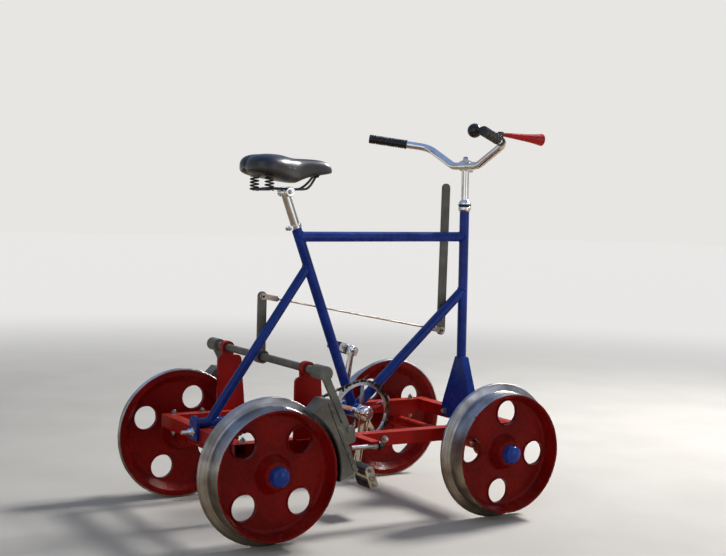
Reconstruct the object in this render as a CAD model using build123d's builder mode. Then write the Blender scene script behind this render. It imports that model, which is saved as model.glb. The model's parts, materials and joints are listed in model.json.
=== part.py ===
"""One-seat pedal railway handcar: bicycle frame on a four-wheel chassis.

Millimetres. X points forward, Y to the left, Z up. The origin is on the floor under
the middle of the vehicle, where the wheel flanges touch; the rail tops are one
flange height above it. Names that end in _y are distances from the centre plane.
"""

import os
from math import asin, atan2, ceil, cos, degrees, floor, pi, radians, sin, sqrt, tan

from build123d import *

# wheels and axles
wheelbase = 714
tread_radius = 165
flange_height = 23
flange_back_y = 277
flange_tip = 11
flange_width = 19
flange_round = 4
flange_lip = 20
wheel_width = 72
tread_taper = 1.5
tread_root = 6
rim_thickness = 6
rim_slope = 12
web_setback = 43
web_thickness = 10
hub_setback = 11
hub_back_reach = 9
hub_tip_radius = 36
hub_foot_radius = 50
hub_back_radius = 42
casting_round = 9
hole_radius = 34
hole_circle = 109
hole_count = 4
lip_width = 4
lip_height = 4
lip_taper = 20
axle_radius = 15
cap_radius = 26

# fits
running_gap = 0.05
seat_gap = 0.3
eye_gap = 0.35

# chassis
member_height = 35
member_width = 35
member_wall = 3
rail_y = 228
frame_rise = 66
rear_overhang = 55.5
front_overhang = 83.5
box_length = 106
box_width = 34
box_flange = 12
box_wall = 13

# bicycle frame tubes
tube_radius = 14.3
tube_wall = 1.6
stay_radius = 13
mitre_inset = 5
shell_x = 56
shell_rise = 21
shell_radius = 20
shell_length = 68
seat_tube_length = 555
seat_tube_lean = 21.14
top_joint_drop = 26
stay_joint_drop = 112
stay_foot_behind = 36
head_behind_beam = 10.5
head_lean = 0.8
head_length = 439
top_tube_drop = 76
down_tube_drop = 236
tail_plate_width = 50
tail_plate_rise = 34
tail_plate_drop = 31
tail_plate_thickness = 8
tail_stud_drop = 9
tail_stud_radius = 5
tail_stud_reach = 33
wing_span = 44
wing_thickness = 4
wing_hub_length = 10

# front bracket
bracket_height = 159
bracket_top_half = 17
bracket_wide_half = 79
bracket_shoulder = 6
bracket_drop = 30
bracket_depth = 25
bracket_wall = 4

# seat
post_show = 103
post_sunk = 70
post_clamp_wall = 2
post_clamp_height = 9
post_ear_width = 15
post_ear_length = 14
post_slot = 2
carriage_rise = 16
rail_half = 21
rail_wire = 4
cross_wire = 3.6
spring_half = 46
spring_radius = 13
spring_turns = 3
spring_ahead = 55
carriage_short = 48
clamp_overlap = 18
carriage_boss_radius = 12
spring_mast_radius = 6
mast_height = 50
saddle_length = 270
saddle_behind = 126
saddle_round = 0.3

# handlebar
bar_radius = 11.1
stem_rise = 136
stem_clamp_width = 34
stem_clamp_wall = 5
pinch_length = 18
pinch_height = 14
pinch_slot = 2
knee_round = 55
grip_length = 114
grip_radius = 13.2
grip_ribs = 13
grip_rib_depth = 1.6
cup_radius = 19
cup_height = 16

# horn
horn_y = -216
horn_behind = 36
horn_rise = 83.5
horn_length = 146
horn_drop = 8
bell_radius = 17.5
throat_radius = 4.8
horn_cone = 6
horn_flare = 9.7
horn_wall = 1.5
bulb_radius = 20
bulb_back = 92
neck_radius = 4.2
horn_clamp_run = 39
horn_band_width = 12
horn_band_wall = 2.2
horn_band_depth = 14

# chain drive
chain_pitch = 12.7
ring_teeth = 44
sprocket_teeth = 18
chain_y = -45
tooth_thickness = 2.6
roller_radius = 3.9
tooth_rise = 3.1
tooth_gap = 0.5
plate_thickness = 1.2
plate_half = 4.2
strand_half = 3.2
ring_band = 12
arm_count = 5
arm_root = 17
arm_tip = 10
arm_thickness = 5
ring_hub_radius = 22
sprocket_hub_length = 26
sprocket_hub_wall = 9
crank_length = 166
crank_turn = 9
crank_y = 66
crank_thickness = 13
crank_root = 25
crank_tip = 17
crank_boss_radius = 20
crank_boss_stand = 3
eye_radius = 13
spindle_radius = 8.5
pedal_pin_radius = 4.5
pedal_clear = 6
pedal_length = 76
pedal_width = 64
pedal_height = 26
pedal_plate = 3
pedal_pad = 20
pedal_barrel = 9

# brake gear
shaft_ahead = 125
shaft_rise = 249
shaft_radius = 10.5
shaft_overhang = 1
bearing_reach = 18
bearing_radius = 19
bearing_width = 22
pedestal_thickness = 9
pedestal_rear = 31
pedestal_front = 42
pedestal_foot = 57
pedestal_shoulder = 22
pedestal_round = 14
hub_radius = 18.5
hub_length = 55
hanger_setback = 14
hanger_thickness = 12
hanger_root = 19
hanger_tip = 16
pin_angle = 28.06
pin_out = 50.2
pin_radius = 5
block_gap = 8
block_width = 50
block_depth = 53
block_crown = 58.6
heel_angle = -9.5
toe_angle = -0.8
shoulder_angle = 52.2
top_angle = 56.6
crown_angle = 60
groove_width = 5
groove_depth = 3
ear_thickness = 6
ear_round = 3
link_y = 23
link_thickness = 6
pull_length = 166
pull_width = 26
pull_pin_radius = 4
collar_radius = 19
collar_length = 28
lever_behind = 59
lever_arm = 71
lever_reach = 369
lever_width = 27
lever_pivot_radius = 5
rod_radius = 2.5
fork_gap = 0.5
fork_ear = 4
fork_radius = 10
fork_length = 46
fork_slot = 28
stop_ahead = 54
stop_width = 26
stop_wall = 4
stop_rod_drop = 13
stop_rod_radius = 6
stop_gap = 8.5
stop_nut = 12

# worked out from the sizes above
axle_z = tread_radius + flange_height
flange_radius = tread_radius + flange_height
half_base = wheelbase / 2
wheel_face_y = flange_back_y + wheel_width
hub_face_y = wheel_face_y - hub_setback
frame_top = axle_z + frame_rise
frame_bottom = frame_top - member_height
rail_outer_y = rail_y + member_width / 2
rear_beam_x = -half_base - rear_overhang
front_beam_x = half_base + front_overhang
beam_back = rear_beam_x - member_width / 2
post_radius = tube_radius - tube_wall
shell_centre = Vector(shell_x, 0, frame_top + shell_rise)
rear_hub = Vector(-half_base, 0, axle_z)


def leaning(start, lean, length):
    """Point at a length along a line that leans backwards from upright."""
    return start + Vector(-sin(radians(lean)), 0, cos(radians(lean))) * length


def inward(start, end):
    """The start moved a little towards the end, to lie inside the tube it meets."""
    return start + (end - start).normalized() * mitre_inset


def rod_solid(start, end, radius):
    """A plain round bar between two points."""
    run = Vector(end) - Vector(start)
    with BuildPart() as bar:
        with BuildSketch(Plane(origin=start, z_dir=run)):
            Circle(radius)
        extrude(amount=run.length)
    return bar.part


def cross_rod(x, z, from_y, to_y, radius):
    """A round bar that runs across the vehicle."""
    return rod_solid((x, from_y, z), (x, to_y, z), radius)


def tube_solid(start, end, radius, cutters):
    """A round tube between two points, mitred against its neighbours."""
    run = end - start
    with BuildPart() as tube:
        with BuildSketch(Plane(origin=start, z_dir=run)):
            Circle(radius)
            Circle(radius - tube_wall, mode=Mode.SUBTRACT)
        extrude(amount=run.length)
        for cutter in cutters:
            add(cutter, mode=Mode.SUBTRACT)
    return tube.part


def save(part, name):
    """Label a piece and write it."""
    part.label = name
    export_step(part, f"parts/{name}.step")


os.makedirs("parts", exist_ok=True)


def wheel_solid(first_hole):
    """Left-hand wheel about the Y axis: flanged tyre, dished web with lipped holes, boss."""
    web_face_y = wheel_face_y - web_setback + web_thickness / 2
    web_back_y = web_face_y - web_thickness
    rim_radius = tread_radius - rim_thickness
    foot_radius = rim_radius - rim_slope
    with BuildPart() as wheel:
        with BuildSketch(Plane.YZ) as section:
            with BuildLine():
                Polyline(
                    (flange_back_y - hub_back_reach, axle_radius),
                    (hub_face_y, axle_radius),
                    (hub_face_y, hub_tip_radius),
                    (web_face_y, hub_foot_radius),
                    (web_face_y, foot_radius),
                    (wheel_face_y, rim_radius),
                    (wheel_face_y, tread_radius - tread_taper / 2),
                    (flange_back_y + flange_width, tread_radius + tread_taper / 2),
                    (flange_back_y + flange_tip, flange_radius),
                    (flange_back_y, flange_radius),
                    (flange_back_y, flange_radius - flange_lip),
                    (web_back_y, foot_radius),
                    (web_back_y, hub_foot_radius),
                    (flange_back_y - hub_back_reach, hub_back_radius),
                    close=True,
                )
            make_face()
            tip_corners = section.vertices().filter_by(lambda corner: corner.Y > flange_radius - 1)
            fillet(tip_corners, flange_round)
            root_corners = section.vertices().filter_by(
                lambda corner: tread_radius < corner.Y < tread_radius + 1
            )
            fillet(root_corners, tread_root)
            web_corners = section.vertices().filter_by(
                lambda corner: hub_foot_radius - 1 < corner.Y < foot_radius + 1
            )
            fillet(web_corners, casting_round)
        revolve(axis=Axis.Y)
        with BuildSketch(Plane.XZ.offset(-web_face_y)):
            with PolarLocations(hole_circle, hole_count, start_angle=first_hole):
                Circle(hole_radius + lip_width)
        extrude(amount=-lip_height, taper=lip_taper)
        with BuildSketch(Plane.XZ.offset(-web_face_y - lip_height)):
            with PolarLocations(hole_circle, hole_count, start_angle=first_hole):
                Circle(hole_radius)
        extrude(amount=web_thickness + lip_height, mode=Mode.SUBTRACT)
    return wheel.part


wheel_table = [
    # name, x, side, angle of the first hole
    ("front_wheel_left", half_base, 1, 34),
    ("front_wheel_right", half_base, -1, 84),
    ("rear_wheel_left", -half_base, 1, 65),
    ("rear_wheel_right", -half_base, -1, 46),
]
for name, x, side, first_hole in wheel_table:
    solid = wheel_solid(first_hole)
    if side < 0:
        solid = mirror(solid, about=Plane.XZ)
    save(solid.moved(Location((x, 0, axle_z))), name)

# axles and domed caps
for name, x in (("front", half_base), ("rear", -half_base)):
    save(cross_rod(x, axle_z, -hub_face_y, hub_face_y, axle_radius), f"{name}_axle")
    with BuildPart() as caps:
        with BuildSketch(Plane.YZ.offset(x)):
            with Locations((hub_face_y, axle_z)):
                Circle(cap_radius)
            with Locations((hub_face_y + cap_radius / 2, axle_z + cap_radius / 2)):
                Rectangle(cap_radius, cap_radius, mode=Mode.INTERSECT)
        revolve(axis=Axis((x, 0, axle_z), (0, 1, 0)))
        mirror(about=Plane.XZ)
    save(caps.part, f"{name}_axle_caps")


def member_section():
    """Square tube of the chassis."""
    Rectangle(member_width, member_height)
    Rectangle(member_width - 2 * member_wall, member_height - 2 * member_wall, mode=Mode.SUBTRACT)


# ladder chassis of square tube, the rails between the beams
frame_mid = frame_top - member_height / 2
rail_back = rear_beam_x + member_width / 2
rail_front = front_beam_x - member_width / 2
with BuildPart() as side_rails:
    with BuildSketch(Plane(origin=(rail_back, rail_y, frame_mid), x_dir=(0, 1, 0), z_dir=(1, 0, 0))):
        member_section()
    extrude(amount=rail_front - rail_back)
    mirror(about=Plane.XZ)
save(side_rails.part, "side_rails")

for name, x in (("front_beam", front_beam_x), ("rear_beam", rear_beam_x)):
    with BuildPart() as beam:
        with BuildSketch(Plane(origin=(x, -rail_outer_y, frame_mid), z_dir=(0, 1, 0))):
            member_section()
        extrude(amount=2 * rail_outer_y)
    save(beam.part, name)

# bearing blocks under the side rails, each with a bolting flange
with BuildPart() as axle_boxes:
    for x in (half_base, -half_base):
        with BuildSketch(Plane.XZ.offset(-rail_y - box_width / 2)):
            with Locations((x, frame_bottom - box_flange / 2)):
                Rectangle(box_length, box_flange)
            with Locations((x, (frame_bottom + axle_z) / 2)):
                Rectangle(2 * (axle_radius + box_wall), frame_bottom - axle_z)
            with Locations((x, axle_z)):
                Circle(axle_radius + box_wall)
                Circle(axle_radius + running_gap, mode=Mode.SUBTRACT)
        extrude(amount=box_width)
    mirror(about=Plane.XZ)
save(axle_boxes.part, "axle_boxes")

# folded bracket on the front beam that carries the head post
bracket_x = front_beam_x - member_width / 2 - bracket_wall
bracket_top = frame_top + bracket_height
bracket_wide_z = frame_top + bracket_shoulder
bracket_plane = Plane(origin=(bracket_x, 0, 0), x_dir=(0, 1, 0), z_dir=(1, 0, 0))
with BuildPart() as front_bracket:
    with BuildSketch(bracket_plane):
        with BuildLine():
            Polyline(
                (0, frame_top - bracket_drop),
                (bracket_wide_half, frame_top - bracket_drop),
                (bracket_wide_half, bracket_wide_z),
                (bracket_top_half, bracket_top),
                (0, bracket_top),
            )
            mirror(about=Plane.YZ)
        make_face()
    extrude(amount=bracket_wall)
    with BuildSketch(bracket_plane):
        with BuildLine():
            Polyline(
                (bracket_wide_half, frame_top),
                (bracket_wide_half, bracket_wide_z),
                (bracket_top_half, bracket_top),
                (-bracket_top_half, bracket_top),
                (-bracket_wide_half, bracket_wide_z),
                (-bracket_wide_half, frame_top),
            )
            offset(amount=bracket_wall, side=Side.LEFT, closed=True)
        make_face()
    extrude(amount=bracket_depth)
save(front_bracket.part, "front_bracket")

# plate on the rear beam that carries the frame's tail
plate_top = frame_top + tail_plate_rise
plate_bottom = frame_top - tail_plate_drop
with BuildPart() as tail_plate:
    with BuildSketch(Plane(origin=(beam_back, 0, 0), x_dir=(0, -1, 0), z_dir=(-1, 0, 0))) as outline:
        with Locations((0, (plate_top + plate_bottom) / 2)):
            Rectangle(tail_plate_width, plate_top - plate_bottom)
        upper_corners = outline.vertices().group_by(SortBy.DISTANCE)[-1]
        fillet(upper_corners, tail_plate_width * 0.45)
    extrude(amount=tail_plate_thickness)
save(tail_plate.part, "tail_plate")

# stud with washer and wing nut on the tail plate
tail_face = beam_back - tail_plate_thickness
stud_plane = Plane(
    origin=(tail_face, 0, frame_top - tail_stud_drop), x_dir=(0, 1, 0), z_dir=(-1, 0, 0)
)
with BuildPart() as tail_stud:
    with BuildSketch(stud_plane):
        Circle(tail_stud_radius)
    extrude(amount=tail_stud_reach)
    with BuildSketch(stud_plane):
        Circle(tail_stud_radius * 2)
    extrude(amount=wing_hub_length, taper=12)
    with BuildSketch(stud_plane.offset(wing_thickness / 2)):
        for side in (1, -1):
            with Locations((side * wing_span / 4, 0)):
                Ellipse(wing_span / 4, wing_span / 8)
    extrude(amount=wing_thickness)
save(tail_stud.part, "tail_stud")

# bicycle frame: each tube is mitred against the ones it is welded to
head_foot = Vector(front_beam_x - head_behind_beam, 0, bracket_top)
head_top = leaning(head_foot, head_lean, head_length)
head_axis = (head_top - head_foot).normalized()
seat_high = leaning(shell_centre, seat_tube_lean, seat_tube_length)
seat_axis = (seat_high - shell_centre).normalized()
top_rear = seat_high - seat_axis * top_joint_drop
top_front = head_top - head_axis * top_tube_drop
down_front = head_top - head_axis * down_tube_drop
stay_high = seat_high - seat_axis * stay_joint_drop
stay_z = frame_top + stay_radius
stay_low = Vector(-half_base - stay_foot_behind, 0, stay_z)
tail_end = Vector(beam_back, 0, stay_z)

shell_body = cross_rod(shell_x, shell_centre.Z, -shell_length / 2, shell_length / 2, shell_radius)
head_body = rod_solid(head_foot, head_top, tube_radius)
seat_body = rod_solid(shell_centre, seat_high, tube_radius)
down_body = rod_solid(shell_centre, down_front, tube_radius)
chain_stay_body = rod_solid(shell_centre, tail_end, stay_radius)

tube_table = [
    # name, start, end, radius, solids it is cut back against
    ("head_post", head_foot + head_axis * seat_gap, head_top, tube_radius, []),
    ("seat_tube", shell_centre, seat_high, tube_radius, [shell_body]),
    (
        "top_tube",
        inward(top_rear, top_front),
        inward(top_front, top_rear),
        tube_radius,
        [seat_body, head_body],
    ),
    (
        "down_tube",
        shell_centre,
        inward(down_front, shell_centre),
        tube_radius,
        [shell_body, seat_body, head_body],
    ),
    ("chain_stay", shell_centre, tail_end, stay_radius, [shell_body, seat_body, tail_plate.part]),
    (
        "seat_stay",
        inward(stay_high, stay_low),
        inward(stay_low, stay_high),
        stay_radius,
        [seat_body, chain_stay_body],
    ),
]
for name, start, end, radius, cutters in tube_table:
    save(tube_solid(start, end, radius, cutters), name)

with BuildPart() as bottom_bracket:
    with BuildSketch(Plane.XZ.offset(-shell_length / 2)):
        with Locations((shell_x, shell_centre.Z)):
            Circle(shell_radius)
            Circle(spindle_radius + running_gap, mode=Mode.SUBTRACT)
    extrude(amount=shell_length)
save(bottom_bracket.part, "bottom_bracket")

# seat post, its clamp at the frame and the saddle's carriage
post_tip = seat_high + seat_axis * post_show
post_body = rod_solid(seat_high - seat_axis * post_sunk, post_tip, post_radius)
save(post_body, "seat_post")

with BuildPart() as seat_clamp:
    with BuildSketch(Plane(origin=seat_high, x_dir=(0, 1, 0), z_dir=seat_axis)):
        Circle(tube_radius + post_clamp_wall)
        with Locations((0, tube_radius + post_ear_length / 2 - 3)):
            Rectangle(post_ear_width, post_ear_length)
        Circle(post_radius, mode=Mode.SUBTRACT)
        with Locations((0, tube_radius + post_ear_length / 2 - 3)):
            Rectangle(post_slot, 2 * post_ear_length + post_slot, mode=Mode.SUBTRACT)
    extrude(amount=post_clamp_height)
save(seat_clamp.part, "seat_clamp")

saddle_rear = post_tip.X - saddle_behind
saddle_sections = [
    # distance from the rear, width, top above the post's tip, underside above the post's tip
    (0, 60, 82, 54),
    (12, 112, 94, 47),
    (34, 142, 101, 40),
    (68, 150, 103, 34),
    (100, 128, 103, 29),
    (130, 92, 101, 27),
    (152, 70, 94, 31),
    (178, 54, 89, 39),
    (232, 42, 88, 49),
    (255, 34, 80, 54),
    (saddle_length, 18, 66, 58),
]
with BuildPart() as saddle:
    for back, width, top, underside in saddle_sections:
        middle = (saddle_rear + back, 0, post_tip.Z + (top + underside) / 2)
        with BuildSketch(Plane(origin=middle, x_dir=(0, 1, 0), z_dir=(1, 0, 0))):
            RectangleRounded(width, top - underside, saddle_round * min(width, top - underside))
    loft(ruled=True)
save(saddle.part, "saddle")

spring_x = saddle_rear + spring_ahead
carriage_z = post_tip.Z + carriage_rise
carriage_front = saddle_rear + saddle_length - carriage_short
spring_step = 2 * rail_wire
spring_drop = 1.4 * rail_wire
with BuildPart() as saddle_frame:
    for side in (1, -1):
        with BuildSketch(Plane(origin=(spring_x, side * rail_half, carriage_z), z_dir=(1, 0, 0))):
            Circle(rail_wire)
        extrude(amount=carriage_front - spring_x)
        for turn in range(spring_turns):
            spring_plane = Plane.XY.offset(carriage_z - spring_drop + turn * spring_step)
            with BuildSketch(spring_plane):
                with Locations((spring_x, side * spring_half)):
                    Circle(spring_radius)
            extrude(amount=rail_wire * 1.2)
        with BuildSketch(Plane.XY.offset(carriage_z - spring_drop)):
            with Locations((spring_x, side * spring_half)):
                Circle(spring_mast_radius)
            with Locations((carriage_front, side * rail_half / 2)):
                Circle(rail_wire * 1.2)
        extrude(amount=mast_height)
    for x, half in ((spring_x, spring_half), (carriage_front, rail_half)):
        with BuildSketch(Plane.XZ.offset(-half)):
            with Locations((x, carriage_z)):
                Circle(cross_wire)
        extrude(amount=2 * half)
    with BuildSketch(Plane.XZ.offset(-rail_half - clamp_overlap / 2)):
        with Locations((post_tip.X + 2, carriage_z - 2)):
            Circle(carriage_boss_radius)
    extrude(amount=2 * rail_half + clamp_overlap)
    add(post_body, mode=Mode.SUBTRACT)
    add(saddle.part, mode=Mode.SUBTRACT)
save(saddle_frame.part, "saddle_frame")

# headset and quill stem
across_head = Vector(head_axis.Z, 0, -head_axis.X)
with BuildPart() as headset:
    with BuildSketch(Plane(origin=head_top, x_dir=across_head, z_dir=(0, -1, 0))):
        with BuildLine():
            Polyline(
                (bar_radius, 0),
                (cup_radius - 3, 0),
                (cup_radius, 5),
                (cup_radius, cup_height - 4),
                (cup_radius - 3, cup_height),
                (cup_radius - 3, cup_height + 3),
                (cup_radius - 1, cup_height + 5),
                (cup_radius - 1, cup_height + 10),
                (bar_radius, cup_height + 18),
                close=True,
            )
        make_face()
    revolve(axis=Axis(head_top, head_axis))
    add(rod_solid(head_top - head_axis * 30, head_top + head_axis * 60, bar_radius), mode=Mode.SUBTRACT)
save(headset.part, "headset")

bar_middle = head_top + head_axis * stem_rise
quill_foot = head_top - head_axis * 60
clamp_outer = bar_radius + stem_clamp_wall
with BuildPart() as stem:
    with BuildSketch(Plane(origin=quill_foot, z_dir=head_axis)):
        Circle(bar_radius)
    extrude(amount=(bar_middle - quill_foot).length)
    with BuildSketch(Plane.XZ.offset(-stem_clamp_width / 2)):
        with Locations((bar_middle.X, bar_middle.Z)):
            Circle(clamp_outer)
        with Locations((bar_middle.X + clamp_outer, bar_middle.Z - 4)):
            Rectangle(pinch_length, pinch_height)
    extrude(amount=stem_clamp_width)
    with BuildSketch(Plane.XZ.offset(-stem_clamp_width / 2)):
        with Locations((bar_middle.X, bar_middle.Z)):
            Circle(bar_radius)
        with Locations((bar_middle.X + clamp_outer + 4, bar_middle.Z - 4)):
            Rectangle(pinch_length + pinch_slot, pinch_slot)
    extrude(amount=stem_clamp_width, mode=Mode.SUBTRACT)
save(stem.part, "stem")

# swept handlebar: corners of its left half, from the middle out
bar_corners = [
    # ahead of the middle, to the left, above the middle
    (0, 63, 0),
    (-5, 193, 59),
    (-155, 296, 82),
]
left_corners = [bar_middle + Vector(corner) for corner in bar_corners]
right_corners = [Vector(point.X, -point.Y, point.Z) for point in reversed(left_corners)]
with BuildPart() as handlebar:
    with BuildLine() as bar_line:
        FilletPolyline(*right_corners, *left_corners, radius=knee_round)
    with BuildSketch(Plane(origin=bar_line.line @ 0, z_dir=bar_line.line % 0)):
        Circle(bar_radius)
    sweep()
save(handlebar.part, "handlebar")

# ribbed grips, closed at the bar's ends
knee_left = left_corners[1]
end_left = left_corners[2]
grip_run = (knee_left - end_left).normalized()
grip_plane = Plane(origin=end_left, z_dir=grip_run)
with BuildPart() as grips:
    with BuildSketch(grip_plane.offset(-4)):
        Circle(grip_radius)
    extrude(amount=grip_length + 4)
    rib_step = grip_length / grip_ribs
    for rib in range(grip_ribs):
        with BuildSketch(grip_plane.offset((rib + 0.7) * rib_step)):
            Circle(grip_radius + 1)
            Circle(grip_radius - grip_rib_depth, mode=Mode.SUBTRACT)
        extrude(amount=rib_step * 0.4, mode=Mode.SUBTRACT)
    with BuildSketch(grip_plane):
        Circle(bar_radius)
    extrude(amount=grip_length, mode=Mode.SUBTRACT)
    mirror(about=Plane.XZ)
save(grips.part, "grips")

# bulb horn: trumpet, rubber bulb on its neck, clamp to the bar
horn_low = Vector(bar_middle.X - horn_behind, horn_y, bar_middle.Z + horn_rise)
horn_run = Vector(horn_length, 0, -horn_drop).normalized()
horn_mouth = horn_low + horn_run * horn_length
horn_plane = Plane(origin=horn_low, x_dir=horn_run, z_dir=(0, -1, 0))
flare_start = horn_length * 0.6
flare_mid = horn_length * 0.86
cone_radius = throat_radius + horn_cone
flare_radius = throat_radius + horn_flare
with BuildPart() as horn:
    with BuildSketch(horn_plane):
        with BuildLine():
            Line((0, 0), (0, throat_radius))
            Line((0, throat_radius), (flare_start, cone_radius))
            ThreePointArc((flare_start, cone_radius), (flare_mid, flare_radius), (horn_length, bell_radius))
            Line((horn_length, bell_radius), (horn_length, bell_radius - horn_wall))
            ThreePointArc(
                (horn_length, bell_radius - horn_wall),
                (flare_mid, flare_radius - horn_wall),
                (flare_start, cone_radius - horn_wall),
            )
            Polyline((flare_start, cone_radius - horn_wall), (flare_start, 0), (0, 0))
        make_face()
    revolve(axis=Axis(horn_low, horn_run))
save(horn.part, "horn")

bulb_reach = sqrt(bulb_radius**2 - neck_radius**2)
with BuildPart() as horn_bulb:
    with BuildSketch(horn_plane):
        with BuildLine():
            Polyline((0, 0), (0, neck_radius), (bulb_reach - bulb_back, neck_radius))
            ThreePointArc(
                (bulb_reach - bulb_back, neck_radius),
                (-bulb_back, bulb_radius),
                (-bulb_back - bulb_radius, 0),
            )
            Line((-bulb_back - bulb_radius, 0), (0, 0))
        make_face()
    revolve(axis=Axis(horn_low, horn_run))
save(horn_bulb.part, "horn_bulb")

knee_right = Vector(knee_left.X, -knee_left.Y, knee_left.Z)
end_right = Vector(end_left.X, -end_left.Y, end_left.Z)
arm_run = (end_right - knee_right).normalized()
band_centre = knee_right + arm_run * horn_clamp_run
band_height = horn_low.Z - band_centre.Z
with BuildPart() as horn_clamp:
    with BuildSketch(Plane(origin=band_centre - arm_run * horn_band_width / 2, z_dir=arm_run)):
        Circle(bar_radius + horn_band_wall)
    extrude(amount=horn_band_width)
    with BuildSketch(Plane.XY.offset(band_centre.Z)):
        with Locations((band_centre.X, horn_y)):
            RectangleRounded(horn_band_width, horn_band_depth, horn_band_width / 4)
    extrude(amount=band_height + horn_band_depth / 2)
    add(rod_solid(knee_right, end_right, bar_radius), mode=Mode.SUBTRACT)
    neck_middle = horn_low - horn_run * horn_band_width
    add(rod_solid(neck_middle, horn_mouth, throat_radius + 1), mode=Mode.SUBTRACT)
save(horn_clamp.part, "horn_clamp")

# chain drive: the closed line around both toothed wheels
ring_radius = chain_pitch / (2 * sin(pi / ring_teeth))
sprocket_radius = chain_pitch / (2 * sin(pi / sprocket_teeth))
hub_run = shell_centre - rear_hub
line_angle = atan2(hub_run.Z, hub_run.X)
wrap_lean = asin((ring_radius - sprocket_radius) / hub_run.length)
tangent_high = line_angle + pi / 2 + wrap_lean
tangent_low = line_angle - pi / 2 - wrap_lean
ring_wrap = tangent_high - tangent_low
straight_run = hub_run.length * cos(wrap_lean)
path_length = ring_wrap * ring_radius + (2 * pi - ring_wrap) * sprocket_radius + 2 * straight_run
link_count = 2 * round(path_length / chain_pitch / 2)
link_step = path_length / link_count
ring_arc = ring_wrap * ring_radius
sprocket_arc = (2 * pi - ring_wrap) * sprocket_radius


def chain_point(along, out):
    """Point at a length along the chain's line and a height out from it, as (x, z)."""
    along = along % path_length
    if along <= ring_arc:
        centre, radius, angle, slide = shell_centre, ring_radius, tangent_high - along / ring_radius, 0
    elif along <= ring_arc + straight_run:
        centre, radius, angle, slide = shell_centre, ring_radius, tangent_low, along - ring_arc
    elif along <= ring_arc + straight_run + sprocket_arc:
        turned = (along - ring_arc - straight_run) / sprocket_radius
        centre, radius, angle, slide = rear_hub, sprocket_radius, tangent_low - turned, 0
    else:
        slide = along - ring_arc - straight_run - sprocket_arc
        centre, radius, angle = rear_hub, sprocket_radius, tangent_high
    heading = angle - pi / 2
    reach = radius + out
    return (
        centre.X + reach * cos(angle) + slide * cos(heading),
        centre.Z + reach * sin(angle) + slide * sin(heading),
    )


def tooth_reach(radius):
    """Length beside a tangent point in which a wheel's teeth would meet the rollers."""
    return sqrt((radius + tooth_rise + roller_radius + 2 * tooth_gap) ** 2 - radius**2)


def in_straight(along):
    """True where a pin is clear of both toothed wheels."""
    by_ring, by_sprocket = tooth_reach(ring_radius), tooth_reach(sprocket_radius)
    upper_start = ring_arc + straight_run + sprocket_arc
    lower = ring_arc + by_ring < along < ring_arc + straight_run - by_sprocket
    upper = upper_start + by_sprocket < along < path_length - by_ring
    return lower or upper


pins = [index * link_step for index in range(link_count)]
inner_half = tooth_thickness / 2 + tooth_gap
strand_outer = inner_half + plate_thickness
chain_plane = Plane.XZ.offset(-chain_y)
with BuildSketch() as strand:
    Polygon(*[chain_point(pin, strand_half) for pin in pins], align=None)
    Polygon(*[chain_point(pin, -strand_half) for pin in pins], align=None, mode=Mode.SUBTRACT)
with BuildSketch() as outer_plates:
    for pin in pins[::2]:
        Polygon(
            chain_point(pin - plate_half, 0),
            chain_point(pin, plate_half),
            chain_point(pin + link_step, plate_half),
            chain_point(pin + link_step + plate_half, 0),
            chain_point(pin + link_step, -plate_half),
            chain_point(pin, -plate_half),
            align=None,
        )
with BuildSketch() as rollers:
    for pin in pins:
        if in_straight(pin):
            with Locations(chain_point(pin, 0)):
                RegularPolygon(roller_radius, 6)
with BuildPart() as chain:
    for side in (1, -1):
        with BuildSketch(chain_plane.offset(side * inner_half)):
            add(strand.sketch)
        extrude(amount=side * plate_thickness)
        with BuildSketch(chain_plane.offset(side * strand_outer)):
            add(outer_plates.sketch)
        extrude(amount=side * plate_thickness)
    with BuildSketch(chain_plane.offset(inner_half)):
        add(rollers.sketch)
    extrude(amount=-2 * inner_half)
save(chain.part, "chain")


def toothed_outline(teeth, radius, first_angle):
    """Every tooth of a chain wheel, as one outline; angles from +X towards +Z."""
    root = radius - roller_radius
    tip = radius + tooth_rise
    step = 2 * pi / teeth
    points = []
    for index in range(teeth):
        for share, reach in ((-0.24, root), (-0.07, tip), (0.07, tip), (0.24, root)):
            angle = first_angle + (index + share) * step
            points.append((reach * cos(angle), reach * sin(angle)))
    Polygon(*points, align=None)


# chainring with tapered arms; a tooth stands midway between two pins
ring_plane = Plane(origin=(shell_x, chain_y, shell_centre.Z), x_dir=(1, 0, 0), z_dir=(0, -1, 0))
band_radius = ring_radius - ring_band
with BuildPart() as chainring:
    with BuildSketch(ring_plane.offset(-tooth_thickness / 2)):
        toothed_outline(ring_teeth, ring_radius, tangent_high - link_step / 2 / ring_radius)
        Circle(band_radius, mode=Mode.SUBTRACT)
    extrude(amount=tooth_thickness)
    with BuildSketch(ring_plane.offset(-arm_thickness / 2)):
        for arm in range(arm_count):
            with Locations(Location((0, 0, 0), (0, 0, 90 + arm * 360 / arm_count))):
                Polygon(
                    (0, -arm_root / 2),
                    (band_radius + 2, -arm_tip / 2),
                    (band_radius + 2, arm_tip / 2),
                    (0, arm_root / 2),
                    align=None,
                )
        Circle(ring_hub_radius)
        Circle(spindle_radius, mode=Mode.SUBTRACT)
    extrude(amount=arm_thickness)
save(chainring.part, "chainring")

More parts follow.
